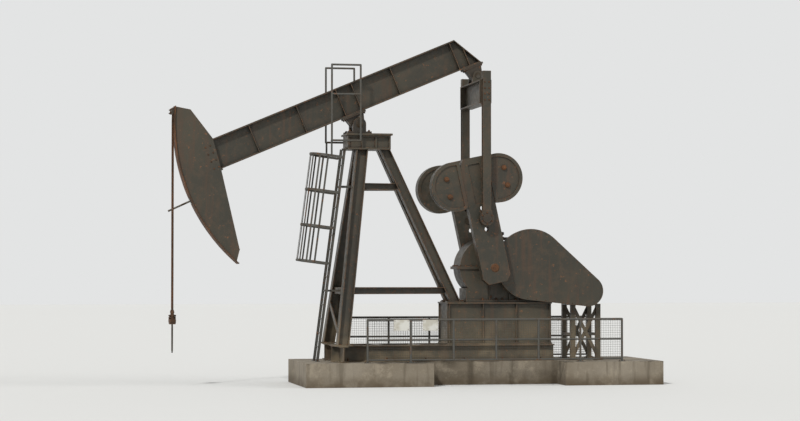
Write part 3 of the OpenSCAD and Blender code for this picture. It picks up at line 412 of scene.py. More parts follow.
def frames(axes):
    """For each axis w, two directions u and v square to it and to each other, as rows."""
    w = np.asarray(axes, float).reshape(-1, 3)
    w = w / np.linalg.norm(w, axis=1, keepdims=True)
    other = np.where(np.abs(w[:, 2:]) < 0.9, (0.0, 0.0, 1.0), (1.0, 0.0, 0.0))
    u = np.cross(other, w)
    u = u / np.linalg.norm(u, axis=1, keepdims=True)
    return np.stack([u, np.cross(w, u), w], axis=1)


def repeated(shape, spots, axes):
    """Copies of a shape: its point (a, b, c) goes to spot + a u + b v + c w, where w is the
    axis."""
    points, faces = shape
    spots = np.asarray(spots, float).reshape(-1, 3)
    turn = frames(np.broadcast_to(np.asarray(axes, float), spots.shape))
    placed = np.einsum("pk,nkj->npj", points, turn) + spots[:, None]
    step = len(points)
    copies = [[k + n * step for k in face] for n in range(len(spots)) for face in faces]
    return placed.reshape(-1, 3), copies


def rods(starts, ends, radius, sides=8):
    """Round bars from each start to each end: ring points end + radius (cos a u + sin a v)."""
    starts, ends = np.asarray(starts, float), np.asarray(ends, float)
    turn = frames(ends - starts)
    a = TAU * np.arange(sides) / sides
    ring = radius * (np.cos(a)[:, None] * turn[:, None, 0] + np.sin(a)[:, None] * turn[:, None, 1])
    points = np.stack([starts[:, None] + ring, ends[:, None] + ring], axis=1)
    one = capped(2, sides)
    faces = [[k + n * 2 * sides for k in face] for n in range(len(starts)) for face in one]
    return points.reshape(-1, 3), faces


def swept(path, radius, sides=8):
    """A round section carried along a path of points, kept upright to the path's own frame."""
    path = np.asarray(path, float)
    along = np.gradient(path, axis=0)
    along = along / np.linalg.norm(along, axis=1, keepdims=True)
    side = np.cross(along, (0.0, 1.0, 0.0))
    flat = np.linalg.norm(side, axis=1, keepdims=True) < 1e-6
    side = np.where(flat, (1.0, 0.0, 0.0), side)
    side = side / np.linalg.norm(side, axis=1, keepdims=True)
    up = np.cross(along, side)
    a = TAU * np.arange(sides) / sides
    ring = np.cos(a)[None, :, None] * side[:, None] + np.sin(a)[None, :, None] * up[:, None]
    return (path[:, None] + radius * ring).reshape(-1, 3), capped(len(path), sides)


def piece(name, shape, finish, body, smooth=False):
    """Puts a shape into a mesh object that rides on a body and takes its finish from a slot."""
    points, faces = shape
    mesh = bpy.data.meshes.new(name)
    mesh.from_pydata(points.tolist(), [], faces)
    mesh.update()
    mesh.materials.append(MATERIALS[finish])
    if smooth:
        mesh.polygons.foreach_set("use_smooth", np.ones(len(faces), bool))
    made = bpy.data.objects.new(name, mesh)
    scene.collection.objects.link(made)
    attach(made, body)
    return made


def shade_round(thing, limit=math.radians(35)):
    """Smooth shading, but for edges sharper than a limit."""
    thing.data.polygons.foreach_set("use_smooth", np.ones(len(thing.data.polygons), bool))
    thing.data.set_sharp_from_angle(angle=limit)


def bevel(thing, width):
    """Breaks a piece's sharp edges."""
    made = thing.modifiers.new("broken_edges", "BEVEL")
    made.width, made.segments, made.limit_method = width, 2, "ANGLE"


def edges_of(node):
    """Lowest and highest corner of a CAD node, as arrays."""
    low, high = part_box(node)
    return np.array(low), np.array(high)


def middle_of(node):
    """Middle of a CAD node's box."""
    low, high = edges_of(node)
    return (low + high) / 2


# Fasteners

def hexagon_nut(across, height, stud):
    """Washer, six sided nut with a crowned top, and a stub of threaded stud through it."""
    r = across / 2 / math.cos(math.pi / 6)
    washer = turned([(0.62 * across, 0), (0.62 * across, 0.08 * across)], 16)
    crown = turned([(r, 0.08 * across), (r, 0.9 * height), (0.86 * r, height)], 6)
    stub = turned([(0.3 * across, height - 0.001), (0.3 * across, height + stud - 0.003),
                   (0.25 * across, height + stud)], 10)
    return join([washer, crown, stub])


def hexagon_head(across, height):
    """Washer and six sided bolt head with a crowned top."""
    return hexagon_nut(across, height, 0.001)


# Widths of the hexagons over their flats
M8, M10, M12, M16, M20, M24, M30 = 0.013, 0.017, 0.019, 0.024, 0.030, 0.036, 0.046
UP, NEAR, FAR = (0, 0, 1), (0, -1, 0), (0, 1, 0)


def both_sides(points):
    """Points and their mirror images across the plane Y = 0."""
    points = np.asarray(points, float).reshape(-1, 3)
    return np.concatenate([points, points * (1, -1, 1)])


def with_mirror(shape):
    """A shape and its mirror image across the plane Y = 0, with the image's faces turned to
    point outwards again."""
    points, faces = shape
    return join([shape, (points * (1, -1, 1), [face[::-1] for face in faces])])


def bolt_circle(middle, y, radius, count):
    """Spots on a circle about a line along Y through a middle point, half a step from level."""
    a = TAU * (np.arange(count) + 0.5) / count
    return np.c_[middle[0] + radius * np.cos(a), np.full(count, y),
                 middle[2] + radius * np.sin(a)]


def anchor_nuts():
    """Studs cast in the block hold the rails' lower flanges, about every 0.8 m."""
    low, high = edges_of("skid_rails")
    rail_w, flange_t, gauge, front_in, back_in = 0.2, 0.022, 0.065, 0.35, 0.3
    x = np.linspace(low[0] + front_in, high[0] - back_in, 6)
    y = high[1] - rail_w / 2 + np.array([-gauge, gauge])
    spots = [(a, b, low[2] + flange_t) for a in x for b in y]
    piece("anchor_nuts", repeated(hexagon_nut(M30, 0.026, 0.03), both_sides(spots), UP),
          "rusty_steel", "foundation")


def foot_bolts():
    """Bolts through the foot plates of the legs, the struts and the motor stand."""
    leg_low, leg_high = edges_of("front_leg_far")
    half_l, half_w, plate_t = 0.185, 0.165, 0.025
    plate_x, plate_y = leg_low[0] + half_l, leg_high[1] - half_w
    legs = [(plate_x + a, plate_y + b, leg_low[2] + plate_t) for a in (-0.07, 0.07)
            for b in (-0.145, 0.145)]
    low, high = edges_of("rear_struts")
    struts = [(high[0] - back, y, low[2] + plate_t) for back in (0.33, 0.04)
              for y in (0.16, 0.34)]
    piece("leg_foot_bolts", repeated(hexagon_head(M24, 0.018), both_sides(legs + struts), UP),
          "rusty_steel", "foundation")
    low, high = edges_of("motor_stand")
    pad_half, pad_t, bolt = 0.09, 0.02, 0.068
    stand = [(x + a, high[1] - pad_half + b, low[2] + pad_t)
             for x in (low[0] + pad_half, high[0] - pad_half)
             for a in (-bolt, bolt) for b in (-bolt, bolt)]
    piece("motor_stand_anchors", repeated(hexagon_nut(M16, 0.014, 0.02), both_sides(stand), UP),
          "rusty_steel", "foundation")


def guard_bolts():
    """Two anchors through the foot plate of each guard post that stands on the block. The
    posts between, along the block's waist, hang on the rails."""
    low, high = edges_of("crank_guard_far")
    bays, foot_half, foot_y, foot_t, bolt = 6, 0.07, 0.06, 0.012, 0.048
    posts = np.linspace(low[0] + foot_half, high[0] - foot_half, bays + 1)
    waist_low, waist_high = 1.3, 4.35
    spots = [(x + a, high[1] - foot_y, low[2] + foot_t) for x in posts
             if x < waist_low or x > waist_high for a in (-bolt, bolt)]
    piece("guard_anchors", repeated(hexagon_nut(M12, 0.011, 0.015), both_sides(spots), UP),
          "rusty_steel", "foundation")


def bearing_bolts():
    """Four bolts hold each centre bearing down on its plate, and a grease cup stands on it."""
    low, high = edges_of("centre_bearings")
    half_w, base_t, inset = 0.07, 0.045, 0.05
    y = high[1] - half_w
    spots = [(x, y + dy, low[2] + base_t) for x in (low[0] + inset, high[0] - inset)
             for dy in (-0.035, 0.035)]
    piece("centre_bearing_bolts", repeated(hexagon_nut(M24, 0.02, 0.015), both_sides(spots), UP),
          "rusty_steel", "foundation")
    cup = turned([(0.016, 0), (0.016, 0.02), (0.010, 0.03), (0.012, 0.036), (0.006, 0.045)], 12)
    tops = both_sides([(0, y, high[2] - 0.002)])
    piece("grease_fittings", repeated(cup, tops, UP), "bare_steel", "foundation", smooth=True)


def reducer_bolts():
    """Bolts along the reducer's joint flange and foot, and round its bearing caps."""
    low, high = edges_of("gearbox_cover")
    joint_t, side_in, end_in, corner = 0.03, 0.018, 0.02, 0.06
    shaft_x, drive_x = middle_of("crankshaft")[0], middle_of("input_shaft")[0]
    shaft_boss, drive_boss = 0.26, 0.165
    x = np.linspace(low[0] + corner, high[0] - corner, 17)
    clear = (np.abs(x - shaft_x) > shaft_boss) & (np.abs(x - drive_x) > drive_boss)
    joint = [(a, high[1] - side_in, low[2] + joint_t) for a in x[clear]]
    ends = [(a, b, low[2] + joint_t) for a in (low[0] + end_in, high[0] - end_in)
            for b in (0.07, 0.21)]
    base_low, base_high = edges_of("gearbox_base")
    foot_t, foot_in = 0.05, 0.035
    ribs = (shaft_x, (shaft_x + drive_x) / 2, drive_x)
    foot = [(a + b, base_high[1] - foot_in, base_low[2] + foot_t) for a in ribs
            for b in (-0.15, 0.15)]
    piece("reducer_joint_bolts",
          repeated(hexagon_nut(M20, 0.018, 0.012), both_sides(joint + ends), UP),
          "rusty_steel", "foundation")
    piece("reducer_foot_bolts", repeated(hexagon_nut(M30, 0.026, 0.02), both_sides(foot), UP),
          "rusty_steel", "foundation")
    cap_low, cap_high = edges_of("gearbox_bearing_caps")
    ring = bolt_circle((cap_low + cap_high) / 2, cap_high[1] - 0.01, 0.2, 8)
    piece("bearing_cap_bolts", with_mirror(repeated(hexagon_head(M16, 0.008), ring, FAR)),
          "rusty_steel", "foundation")


def reducer_fittings():
    """A breather and lid bolts on the cover, and drain plugs low in the walls."""
    shaft = middle_of("crankshaft")
    lid_back, lid_up = 0.36, 0.66
    lid_x, lid_z = shaft[0] + lid_back, shaft[2] + lid_up
    lid = [(lid_x + a, b, lid_z) for a in (-0.18, 0, 0.18) for b in (-0.15, 0.15)]
    piece("reducer_lid_bolts", repeated(hexagon_head(M12, 0.010), lid, UP),
          "rusty_steel", "foundation")
    breather = turned([(0.022, 0), (0.022, 0.05), (0.045, 0.055), (0.050, 0.065),
                       (0.050, 0.10), (0.040, 0.115), (0.010, 0.12)], 20)
    piece("reducer_breather", repeated(breather, [(lid_x, 0, lid_z)], UP),
          "cast_iron", "foundation", smooth=True)
    base_low, base_high = edges_of("gearbox_base")
    wall_y, plug_up, front_in, back_in = 0.34, 0.12, 0.72, 0.30
    plug = join([turned([(0.035, -0.002), (0.035, 0.012), (0.030, 0.014)], 16),
                 turned([(0.022, 0.012), (0.022, 0.030), (0.019, 0.034)], 6)])
    spots = [(x, wall_y, base_low[2] + plug_up)
             for x in (base_low[0] + front_in, base_high[0] - back_in)]
    piece("drain_plugs", with_mirror(repeated(plug, spots, FAR)), "rusty_steel", "foundation")


def crank_frame():
    """The shaft's middle, and the directions along the crank and across it."""
    shaft, wrist = middle_of("crankshaft"), middle_of("wrist_pins")
    along = (wrist - shaft) * (1, 0, 1)
    along = along / np.linalg.norm(along)
    across = np.array((-along[2], 0, along[0]))
    return shaft * (1, 0, 1), along, across


def weight_bolts():
    """Two big nuts through each counterweight, in the hollow of its face. The inner ones are
    thin, because the belt guard stands close to them."""
    shaft, along, across = crank_frame()
    low, high = edges_of("counterweights_far")
    hollow, across_flats = 0.029, 0.095
    reach, spread, lift = 1.855, 0.19, 0.64
    centres = [shaft + (reach + d) * along + side * lift * across
               for d in (-spread, spread) for side in (-1, 1)]
    thick = hexagon_nut(across_flats, 0.045, 0.012)
    thin = hexagon_nut(across_flats, 0.018, 0.004)
    shapes = [repeated(nut, np.array(centres) + (0, y, 0), axis)
              for y, axis, nut in ((high[1] - hollow, FAR, thick), (low[1] + hollow, NEAR, thin))]
    piece("counterweight_nuts", with_mirror(join(shapes)), "rusty_steel", "cranks")


def crank_ends():
    """A round keeper plate with three screws on each end of the crankshaft."""
    end_y = edges_of("crankshaft")[1][1]
    plate_r, plate_t, screw_r = 0.085, 0.012, 0.05
    plate = turned([(plate_r, 0), (plate_r, plate_t - 0.002), (plate_r - 0.005, plate_t)], 32)
    a = TAU * np.arange(3) / 3
    screws = np.c_[screw_r * np.cos(a), screw_r * np.sin(a), np.full(3, plate_t)]
    keeper = join([plate, repeated(hexagon_head(M16, 0.009), screws, UP)])
    spot = crank_frame()[0] + (0, end_y - 0.001, 0)
    piece("shaft_keepers", with_mirror(repeated(keeper, spot, FAR)), "rusty_steel", "cranks")


def beam_frame():
    """Middle of the beam's pivot, and the directions along the beam and square to it."""
    pivot, tail = middle_of("centre_shaft"), middle_of("tail_shaft")
    along = (tail - pivot) * (1, 0, 1)
    along = along / np.linalg.norm(along)
    return pivot * (1, 0, 1), along, np.array((-along[2], 0, along[0]))


def at_beam(points):
    """Points given as (along, y, up) in the beam's own frame."""
    pivot, along, up = beam_frame()
    p = np.asarray(points, float).reshape(-1, 3)
    return pivot + p[:, :1] * along + p[:, 1:2] * np.array(FAR) + p[:, 2:] * up


def beam_bolts():
    """Bolts through the beam's lower flange into the saddle and the tail bearing, and along
    the joint of the head's side plates to the beam's nose."""
    up = beam_frame()[2]
    beam_low, flange_t, saddle_t, tail_plate_t = 0.24, 0.028, 0.0403, 0.0453
    flange_top, y = beam_low + flange_t, 0.105
    saddle, tail = (-0.225, 0.225), (2.63, 3.01)
    over = both_sides([(x, y, flange_top) for x in (*saddle, tail[0])])
    under = both_sides([(x, y, beam_low - saddle_t) for x in saddle]
                       + [(x, y, beam_low - tail_plate_t) for x in tail])
    piece("beam_seat_bolts",
          join([repeated(hexagon_head(M24, 0.016), at_beam(over), up),
                repeated(hexagon_nut(M24, 0.020, 0.015), at_beam(under), -up)]),
          "rusty_steel", "walking_beam")
    side = 0.19
    rows = [(x, side, z) for x in (-3.23, -3.12) for z in (0.30, 0.46, 0.62, 0.78)]
    head = hexagon_head(M20, 0.013)
    piece("head_joint_bolts", with_mirror(repeated(head, at_beam(rows), FAR)),
          "rusty_steel", "walking_beam")


def linkage_bolts():
    """Six cap screws round the face of each wrist bearing, and eight bolts through each pitman
    into the end of the equalizer beam."""
    low, high = edges_of("wrist_bearings")
    x = middle_of("wrist_bearings")[0]
    housing_r, ring_r, cover = 0.15, 0.12, 0.02
    ring = bolt_circle((x, 0, low[2] + housing_r), high[1] - cover, ring_r, 6)
    beam_low, outer = edges_of("equalizer_beam")[0][2], edges_of("pitman_far")[1][1]
    rows = [(x + dx, outer, beam_low + dz) for dx in (-0.045, 0.045)
            for dz in (0.06, 0.19, 0.31, 0.44)]
    screws = repeated(hexagon_head(M20, 0.013), [*ring, *rows], FAR)
    piece("linkage_bolts", with_mirror(screws), "rusty_steel", "equalizer")


def motor_bolts():
    """Hold down bolts on the motor's feet."""
    x, low = middle_of("motor")[0], edges_of("motor")[0]
    foot_t, foot_y = 0.03, 0.17
    spots = [(x + a, foot_y, low[2] + foot_t) for a in (-0.165, 0.165)]
    piece("motor_foot_bolts", repeated(hexagon_nut(M20, 0.018, 0.014), both_sides(spots), UP),
          "rusty_steel", "foundation")


def cage_bolts():
    """A bolt through each crossing of a hoop and a strap of the ladder's cage. The hoops are
    square to the ladder, which leans like the front legs."""
    lean = math.radians(7.396)
    foot = np.array((-0.9004, 0, 0.508))
    first_hoop, hoop_step, hoops, cage_deep = 2.084, 0.76, 4, 0.70
    hoop_r = edges_of("ladder_cage")[1][1]
    a = np.radians(np.arange(-90, 91, 30))
    outward = np.c_[-np.cos(a), np.sin(a), 0 * a]
    turn = np.array([(math.cos(lean), 0, -math.sin(lean)), FAR,
                     (math.sin(lean), 0, math.cos(lean))])
    centres = [(hoop_r - cage_deep, 0, first_hoop + k * hoop_step) for k in range(hoops)]
    spots = np.concatenate([centre + hoop_r * outward for centre in np.array(centres)])
    piece("cage_bolts", repeated(hexagon_head(M10, 0.007), foot + spots @ turn,
                                 np.tile(outward @ turn, (hoops, 1))),
          "rusty_steel", "foundation")


def cage_hangers():
    """Flat straps, bolted to the cage's top hoop and welded to the ties at the foot of the
    top handrail."""
    rail_low = edges_of("ladder_top_rail")[0]
    rail_r, tie_t = 0.021, 0.012
    tie_x, tie_top = rail_low[0] + rail_r + tie_t / 2, rail_low[2] + rail_r + tie_t
    hoop_y, strap_low = edges_of("ladder_cage")[1][1], 4.852
    strap_half, strap_t = 0.02, 0.006
    strap = block((tie_x - strap_half, hoop_y - 0.0005, strap_low),
                  (tie_x + strap_half, hoop_y + strap_t, tie_top))
    piece("cage_hangers", with_mirror(strap), "galvanised_steel", "foundation")
    spot = (tie_x, hoop_y + strap_t, strap_low + 0.02)
    piece("cage_hanger_bolts", with_mirror(repeated(hexagon_head(M10, 0.007), spot, FAR)),
          "rusty_steel", "foundation")


def ladder_shoes():
    """A shoe plate under each of the ladder's rails, held to the block by an anchor on each
    side of the rail."""
    low = edges_of("ladder")[0]
    pad_top = edges_of("foundation")[1][2]
    rail_w, rail_y = 0.06, 0.225
    length, width, sunk = 0.10, 0.15, 0.004
    foot_x, top = low[0] + rail_w / 2, low[2] + sunk
    plate = block((foot_x - length / 2, rail_y - width / 2, pad_top),
                  (foot_x + length / 2, rail_y + width / 2, top))
    piece("ladder_shoes", with_mirror(plate), "galvanised_steel", "foundation")
    spots = [(foot_x, rail_y + side * 0.05, top) for side in (-1, 1)]
    piece("ladder_anchors", repeated(hexagon_nut(M16, 0.014, 0.02), both_sides(spots), UP),
          "rusty_steel", "foundation")


def rod_and_thread():
    """The polished rod as turned: round, with a small chamfer on top, and a rolled thread on
    the pin at its lower end, whose radius falls by a depth d once each pitch."""
    low, high = edges_of("polished_rod")
    x, top = (low[0] + high[0]) / 2, high[2] - low[2]
    rod_r, pin_r, pin_l, pitch, depth = (high[0] - low[0]) / 2, 0.015, 0.045, 0.003, 0.0018
    turns = int(pin_l / pitch)
    thread = [(pin_r - d, pitch * (k + b)) for k in range(turns)
              for b, d in ((0.0, depth), (0.5, 0.0))]
    profile = [(pin_r - depth, 0)] + thread[1:] + [(pin_r - depth, pin_l), (rod_r, pin_l),
                                                   (rod_r, top - 0.002), (rod_r - 0.002, top)]
    shape = turned(profile, 32)
    made = piece("polished_rod_turned", (shape[0] + (x, 0, low[2]), shape[1]), "bare_steel",
                 "carrier")
    shade_round(made)
    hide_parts("polished_rod")


def carrier_fittings():
    """Nuts on the rod clamp's two pairs of bolts, and split pins through the ends of the
    sockets' pins."""
    low, high = edges_of("rod_clamp")
    x = (low[0] + high[0]) / 2
    seat, bolt_y, bolt_zs = 0.020, 0.04, (0.022, 0.068)
    heads, nuts = ([(end, y, low[2] + z) for z in bolt_zs for y in (-bolt_y, bolt_y)]
                   for end in (low[0] + seat, high[0] - seat))
    piece("clamp_nuts", join([repeated(hexagon_nut(M24, 0.019, 0.002), nuts, (1, 0, 0)),
                              repeated(hexagon_head(M24, 0.014), heads, (-1, 0, 0))]),
          "rusty_steel", "carrier")
    socket_low, socket_high = edges_of("rope_sockets")
    pin_up, pin_l, inset, half = 0.0747, 0.09, 0.006, 0.019
    outer = socket_high[1] - inset
    ends = both_sides([(x, y, socket_low[2] + pin_up) for y in (outer, outer - pin_l + 2 * inset)])
    piece("socket_split_pins", rods(ends - (0, 0, half), ends + (0, 0, half), 0.003),
          "bare_steel", "carrier")


ROPE_LAY = 0.18
POINTS_A_LAY = 14
CLAMP_RISE = math.radians(3.36)


def rope_place():
    """Lowest and highest corner of the two hanging ropes, their radius, and where they hang."""
    low, high = edges_of("bridle_ropes")
    radius = (high[0] - low[0]) / 2
    return low, high, radius, (low[0] + high[0]) / 2, high[1] - radius


def rope_clamps():
    """A clamp in two halves on each rope's end, at the top of the head's face, with four nuts.
    Its own directions are up the face, across it and outwards."""
    pivot = beam_frame()[0]
    y = rope_place()[4]
    face_r, cap_low, cap_high = 3.9373, 0.0155, 0.0697
    bolt_x, bolt_y = 0.035, 0.02
    halves = [block((-0.060, -0.035, 0), (0.060, 0.035, 0.0135)),
              block((-0.057, -0.033, cap_low), (0.057, 0.033, cap_high))]
    lift = np.array((math.sin(CLAMP_RISE), 0, math.cos(CLAMP_RISE)))
    out = np.array((-math.cos(CLAMP_RISE), 0, math.sin(CLAMP_RISE)))
    turn = np.array([lift, FAR, out])
    shapes = [(pivot + face_r * out + (0, side * y, 0) + points @ turn, faces)
              for side in (-1, 1) for points, faces in halves]
    made = piece("rope_clamps", join(shapes), "cast_iron", "walking_beam")
    bevel(made, 0.003)
    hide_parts("rope_anchors")
    spots = [pivot + (face_r + cap_high) * out + a * lift + (0, y + b, 0)
             for a in (-bolt_x, bolt_x) for b in (-bolt_y, bolt_y)]
    piece("rope_clamp_nuts", repeated(hexagon_nut(M16, 0.014, 0.012), both_sides(spots), out),
          "rusty_steel", "walking_beam")


# Wire work

def guard_mesh(name, node):
    """Square mesh of wires 50 mm apart, tied between the outer rails of a crank guard. The
    wires are 4.4 mm thick, a little more than real ones, so that they show."""
    low, high = edges_of(node)
    y = middle_of(node)[1]
    step, wire_r = 0.05, 0.0022
    foot_half, low_rail, top_rail_r = 0.07, 0.06, 0.024
    x0, x1 = low[0] + foot_half, high[0] - foot_half
    z0, z1 = low[2] + low_rail, high[2] - top_rail_r
    x = np.arange(x0 + step, x1, step)
    z = np.arange(z0 + step, z1, step)
    upright = rods(np.c_[x, 0 * x + y, 0 * x + z0], np.c_[x, 0 * x + y, 0 * x + z1], wire_r, 4)
    behind = y + 2 * wire_r
    level = rods(np.c_[0 * z + x0, 0 * z + behind, z], np.c_[0 * z + x1, 0 * z + behind, z],
                 wire_r, 4)
    piece(name, join([upright, level]), "galvanised_steel", "foundation")


def stranded(middle, first, second, radius):
    """A wire rope of six strands along a path of points: round a plain core, each strand's
    middle is a helix, middle + 2/3 radius (cos a first + sin a second), with a one turn larger
    each lay. The directions first and second are square to the path."""
    strands, sides = 6, 6
    run = np.r_[0, np.cumsum(np.linalg.norm(np.diff(middle, axis=0), axis=1))]
    shapes = [swept(middle, 0.45 * radius, 8)]
    for k in range(strands):
        a = (TAU * (run / ROPE_LAY + k / strands))[:, None]
        helix = middle + 2 / 3 * radius * (np.cos(a) * first + np.sin(a) * second)
        shapes.append(swept(helix, radius / 3, sides))
    return join(shapes)


def bridle():
    """Two wire ropes from the head's face to the carrier bar. They are laid right handed."""
    low, high, radius, x, y = rope_place()
    free = high[2] - low[2]
    z = np.linspace(low[2], high[2], int(POINTS_A_LAY * free / ROPE_LAY) + 1)
    east = np.array((1, 0, 0))
    shape = join([stranded(np.c_[0 * z + x, 0 * z + side * y, z], east, np.array(FAR), radius)
                  for side in (-1, 1)])
    made = piece("bridle_wire_ropes", shape, "rusty_steel", "foundation", smooth=True)
    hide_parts("bridle_ropes")
    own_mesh(made)


def ropes_on_face():
    """The ropes' upper ends, which lie on the head's face as arcs about the beam's pivot, from
    where they hang clear up through their clamps."""
    radius, x, y = rope_place()[2:]
    pivot = beam_frame()[0]
    past_clamp = math.radians(1.4)
    wrap, track = CLAMP_RISE + past_clamp, pivot[0] - x
    a = np.linspace(0, wrap, int(POINTS_A_LAY * track * wrap / ROPE_LAY) + 1)[:, None]
    out = np.concatenate([-np.cos(a), 0 * a, np.sin(a)], axis=1)
    shape = join([stranded(pivot + (0, side * y, 0) + track * out, out, np.array(FAR), radius)
                  for side in (-1, 1)])
    piece("ropes_on_face", shape, "rusty_steel", "walking_beam", smooth=True)


def guard_rim_bolts():
    """Screws about every 0.2 m along the rim of the belt guard, which is two arcs round the
    sheaves joined by their outer tangents."""
    low, high = edges_of("belt_guard")
    big, small = middle_of("large_sheave"), middle_of("motor_sheave")
    rim_w = 0.012
    radii = (big[0] - low[0] - rim_w, high[0] - small[0] - rim_w)
    line = small - big
    span, tilt = math.hypot(line[0], line[2]), math.atan2(line[2], line[0])
    opening = math.acos((radii[0] - radii[1]) / span)
    step, inset = 0.2, 0.02
    arcs = []
    for centre, r, a0, a1 in ((big, radii[0], tilt + opening, tilt + TAU - opening),
                              (small, radii[1], tilt - opening, tilt + opening)):
        a = np.linspace(a0, a1, int(r * (a1 - a0) / step) + 1)
        arcs.append(np.c_[centre[0] + (r - inset) * np.cos(a), centre[2] + (r - inset) * np.sin(a)])
    for first, last in ((arcs[0][-1], arcs[1][0]), (arcs[1][-1], arcs[0][0])):
        t = np.arange(step, np.linalg.norm(last - first) - step / 2, step)[:, None]
        arcs.append(first + t * (last - first) / np.linalg.norm(last - first))
    flat = np.concatenate(arcs)
    spots = np.c_[flat[:, 0], np.full(len(flat), low[1] + 0.0005), flat[:, 1]]
    piece("guard_rim_screws", repeated(hexagon_head(M10, 0.007), spots, NEAR),
          "rusty_steel", "foundation")


def beam_welds():
    """Fillet weld beads where the beam's web meets its flanges, and up both faces of each
    stiffener."""
    web_half, stiffener_t, bead = 0.007, 0.014, 0.007
    nose_x, tail_x, lower_z, upper_z = -3.28, 2.63, 0.268, 0.872
    stiffeners = (-2.2, -1.1, -0.18, 0.18, 1.1, 2.52)
    lines = [[(nose_x, y, z), (tail_x, y, z)] for z in (lower_z, upper_z)
             for y in (-web_half, web_half)]
    lines += [[(x + t, y, lower_z), (x + t, y, upper_z)] for x in stiffeners
              for t in (0, stiffener_t) for y in (-web_half, web_half)]
    lines = np.array(lines)
    piece("beam_weld_beads", rods(at_beam(lines[:, 0]), at_beam(lines[:, 1]), bead, 6),
          "weathered_paint", "walking_beam", smooth=True)


def head_welds():
    """Fillet beads where the head's side plates meet the back of its face plate: arcs about
    the beam's pivot at the face's radius less its thickness."""
    back_r, side_y, bead, lowest, highest = 3.917, 0.190, 0.007, -25.5, 27.0
    a = np.radians(np.linspace(lowest, highest, 130))
    lines = [at_beam(np.c_[-back_r * np.cos(a), 0 * a + side * side_y, back_r * np.sin(a)])
             for side in (-1, 1)]
    piece("head_weld_beads", join([swept(line, bead, 6) for line in lines]),
          "weathered_paint", "walking_beam", smooth=True)


def corner_welds(name, nodes, body):
    """Fillet beads along each straight inward corner of some plain nodes: every edge longer
    than 30 mm whose two faces turn more than 60 degrees towards each other."""
    bead, shortest, turn = 0.006, 0.03, math.radians(60)
    lines = []
    for node in nodes:
        part = frame["nodes"][node]
        mesh = bmesh.new()
        mesh.from_mesh(part.data)
        bmesh.ops.remove_doubles(mesh, verts=mesh.verts, dist=1e-5)
        lines += [[part.matrix_world @ end.co for end in edge.verts] for edge in mesh.edges
                  if len(edge.link_faces) == 2 and not edge.is_convex
                  and edge.calc_face_angle(0) > turn and edge.calc_length() > shortest]
        mesh.free()
    starts, ends = zip(*lines)
    piece(name, rods(starts, ends, bead, 6), "weathered_paint", body, smooth=True)


def sign_screws():
    """Four screws hold each blank plate to the mesh."""
    low, high = edges_of("sign_plates")
    width, inset = 0.33, 0.025
    x = [low[0] + inset, low[0] + width - inset, high[0] - width + inset, high[0] - inset]
    spots = [(a, low[1], z) for a in x for z in (low[2] + inset, high[2] - inset)]
    piece("sign_screws", repeated(hexagon_head(M8, 0.005), spots, NEAR),
          "rusty_steel", "foundation")


def motor_fittings():
    """Rings of the fan cowl's grille, and the screws of the terminal box's lid."""
    low, high = edges_of("motor")
    x = (low[0] + high[0]) / 2
    screw = 0.095
    lid = [(x + a, b, high[2]) for a in (-screw, screw) for b in (-screw, screw)]
    piece("terminal_box_screws", repeated(hexagon_head(M8, 0.006), lid, UP),
          "rusty_steel", "foundation")
    shaft_up, wire_r = 0.28, 0.003
    a = TAU * np.arange(41) / 40
    shapes = [swept(np.c_[x + r * np.cos(a), 0 * a + high[1] + wire_r / 2,
                          low[2] + shaft_up + r * np.sin(a)], wire_r, 6)
              for r in (0.05, 0.08, 0.11, 0.14, 0.165)]
    piece("fan_cowl_grille", join(shapes), "motor_paint", "foundation", smooth=True)


anchor_nuts()
foot_bolts()
guard_bolts()
bearing_bolts()
reducer_bolts()
reducer_fittings()
weight_bolts()
crank_ends()
beam_bolts()
linkage_bolts()
motor_bolts()
cage_bolts()
cage_hangers()
ladder_shoes()
rod_and_thread()
carrier_fittings()
rope_clamps()
guard_mesh("guard_mesh_near", "crank_guard_near")
guard_mesh("guard_mesh_far", "crank_guard_far")
bridle()
ropes_on_face()
guard_rim_bolts()
beam_welds()
head_welds()
corner_welds("frame_weld_beads",
             ["front_leg_near", "front_leg_far", "rear_struts", "post_cap", "post_braces",
              "skid_rails", "skid_cross_members", "motor_stand", "gearbox_pedestal",
              "gearbox_base"], "foundation")
corner_welds("equalizer_weld_beads", ["equalizer_beam"], "equalizer")
corner_welds("saddle_weld_beads", ["beam_saddle"], "walking_beam")
sign_screws()
motor_fittings()


# Camera, light and floor

CAMERA = Vector((-7.83, -45.0, 2.37))
AIM = Vector((0.93, 0.0, 3.72))
LENS_MM = 96.0
SENSOR_MM = 36.0
FLOOR_HALF = 120.0


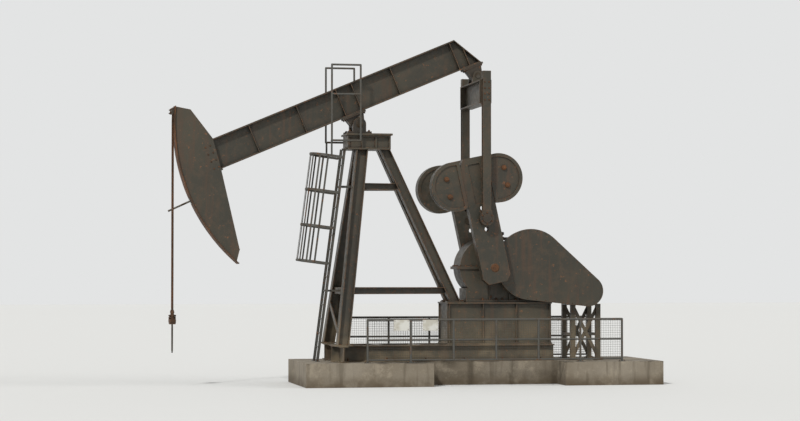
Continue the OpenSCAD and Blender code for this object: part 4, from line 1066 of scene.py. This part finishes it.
def make_camera():
    """Stands where the photograph was taken and looks at the middle of the unit."""
    data = bpy.data.cameras.new("camera")
    data.lens = LENS_MM
    data.sensor_width = SENSOR_MM
    data.clip_end = 500
    made = bpy.data.objects.new("camera", data)
    scene.collection.objects.link(made)
    made.location = CAMERA
    made.rotation_euler = (AIM - CAMERA).to_track_quat("-Z", "Y").to_euler()
    scene.camera = made


def studio_floor_material():
    """Pale matt studio floor that the camera sees as near white, with its shadow kept."""
    made, _, shader = new_material("studio_floor")
    shader.inputs["Base Color"].default_value = srgb("#d9d9d6")
    shader.inputs["Roughness"].default_value = 0.9
    return made


def make_floor():
    """A flat square of ground under the block, a hair below its foot."""
    mesh = bpy.data.meshes.new("studio_floor")
    half, z = FLOOR_HALF, -0.002
    mesh.from_pydata([(-half, -half, z), (half, -half, z), (half, half, z), (-half, half, z)],
                     [], [(0, 1, 2, 3)])
    made = bpy.data.objects.new("studio_floor", mesh)
    scene.collection.objects.link(made)
    mesh.materials.append(studio_floor_material())


def make_world():
    """A pale world that lights softly, and shows as the backdrop to camera and mirrors."""
    world = bpy.data.worlds.new("studio")
    scene.world = world
    world.use_nodes = True
    tree = world.node_tree
    tree.nodes.clear()
    path = add(tree, "ShaderNodeLightPath")
    seen = combine(tree, "MAXIMUM", path.outputs["Is Camera Ray"],
                   combine(tree, "MAXIMUM", path.outputs["Is Glossy Ray"],
                           path.outputs["Is Transmission Ray"]))
    lit = add(tree, "ShaderNodeBackground", sockets={"Color": srgb("#ffffff"), "Strength": 0.45})
    shown = add(tree, "ShaderNodeBackground",
                sockets={"Color": srgb("#e3e4e4"), "Strength": 1.0})
    mixed = add(tree, "ShaderNodeMixShader", {0: seen, 1: lit.outputs[0], 2: shown.outputs[0]})
    add(tree, "ShaderNodeOutputWorld", {"Surface": mixed.outputs[0]})


def make_lamp(name, kind, energy, turn, **settings):
    """A lamp that shines along its own -Z, turned by Euler degrees."""
    data = bpy.data.lights.new(name, kind)
    data.energy = energy
    for key, value in settings.items():
        setattr(data, key, value)
    made = bpy.data.objects.new(name, data)
    made.rotation_euler = [math.radians(a) for a in turn]
    scene.collection.objects.link(made)


make_camera()
make_floor()
make_world()
make_lamp("key", "SUN", 2.4, (48, 0, -38), angle=math.radians(6))
make_lamp("fill", "SUN", 0.8, (62, 0, 70), angle=math.radians(30))
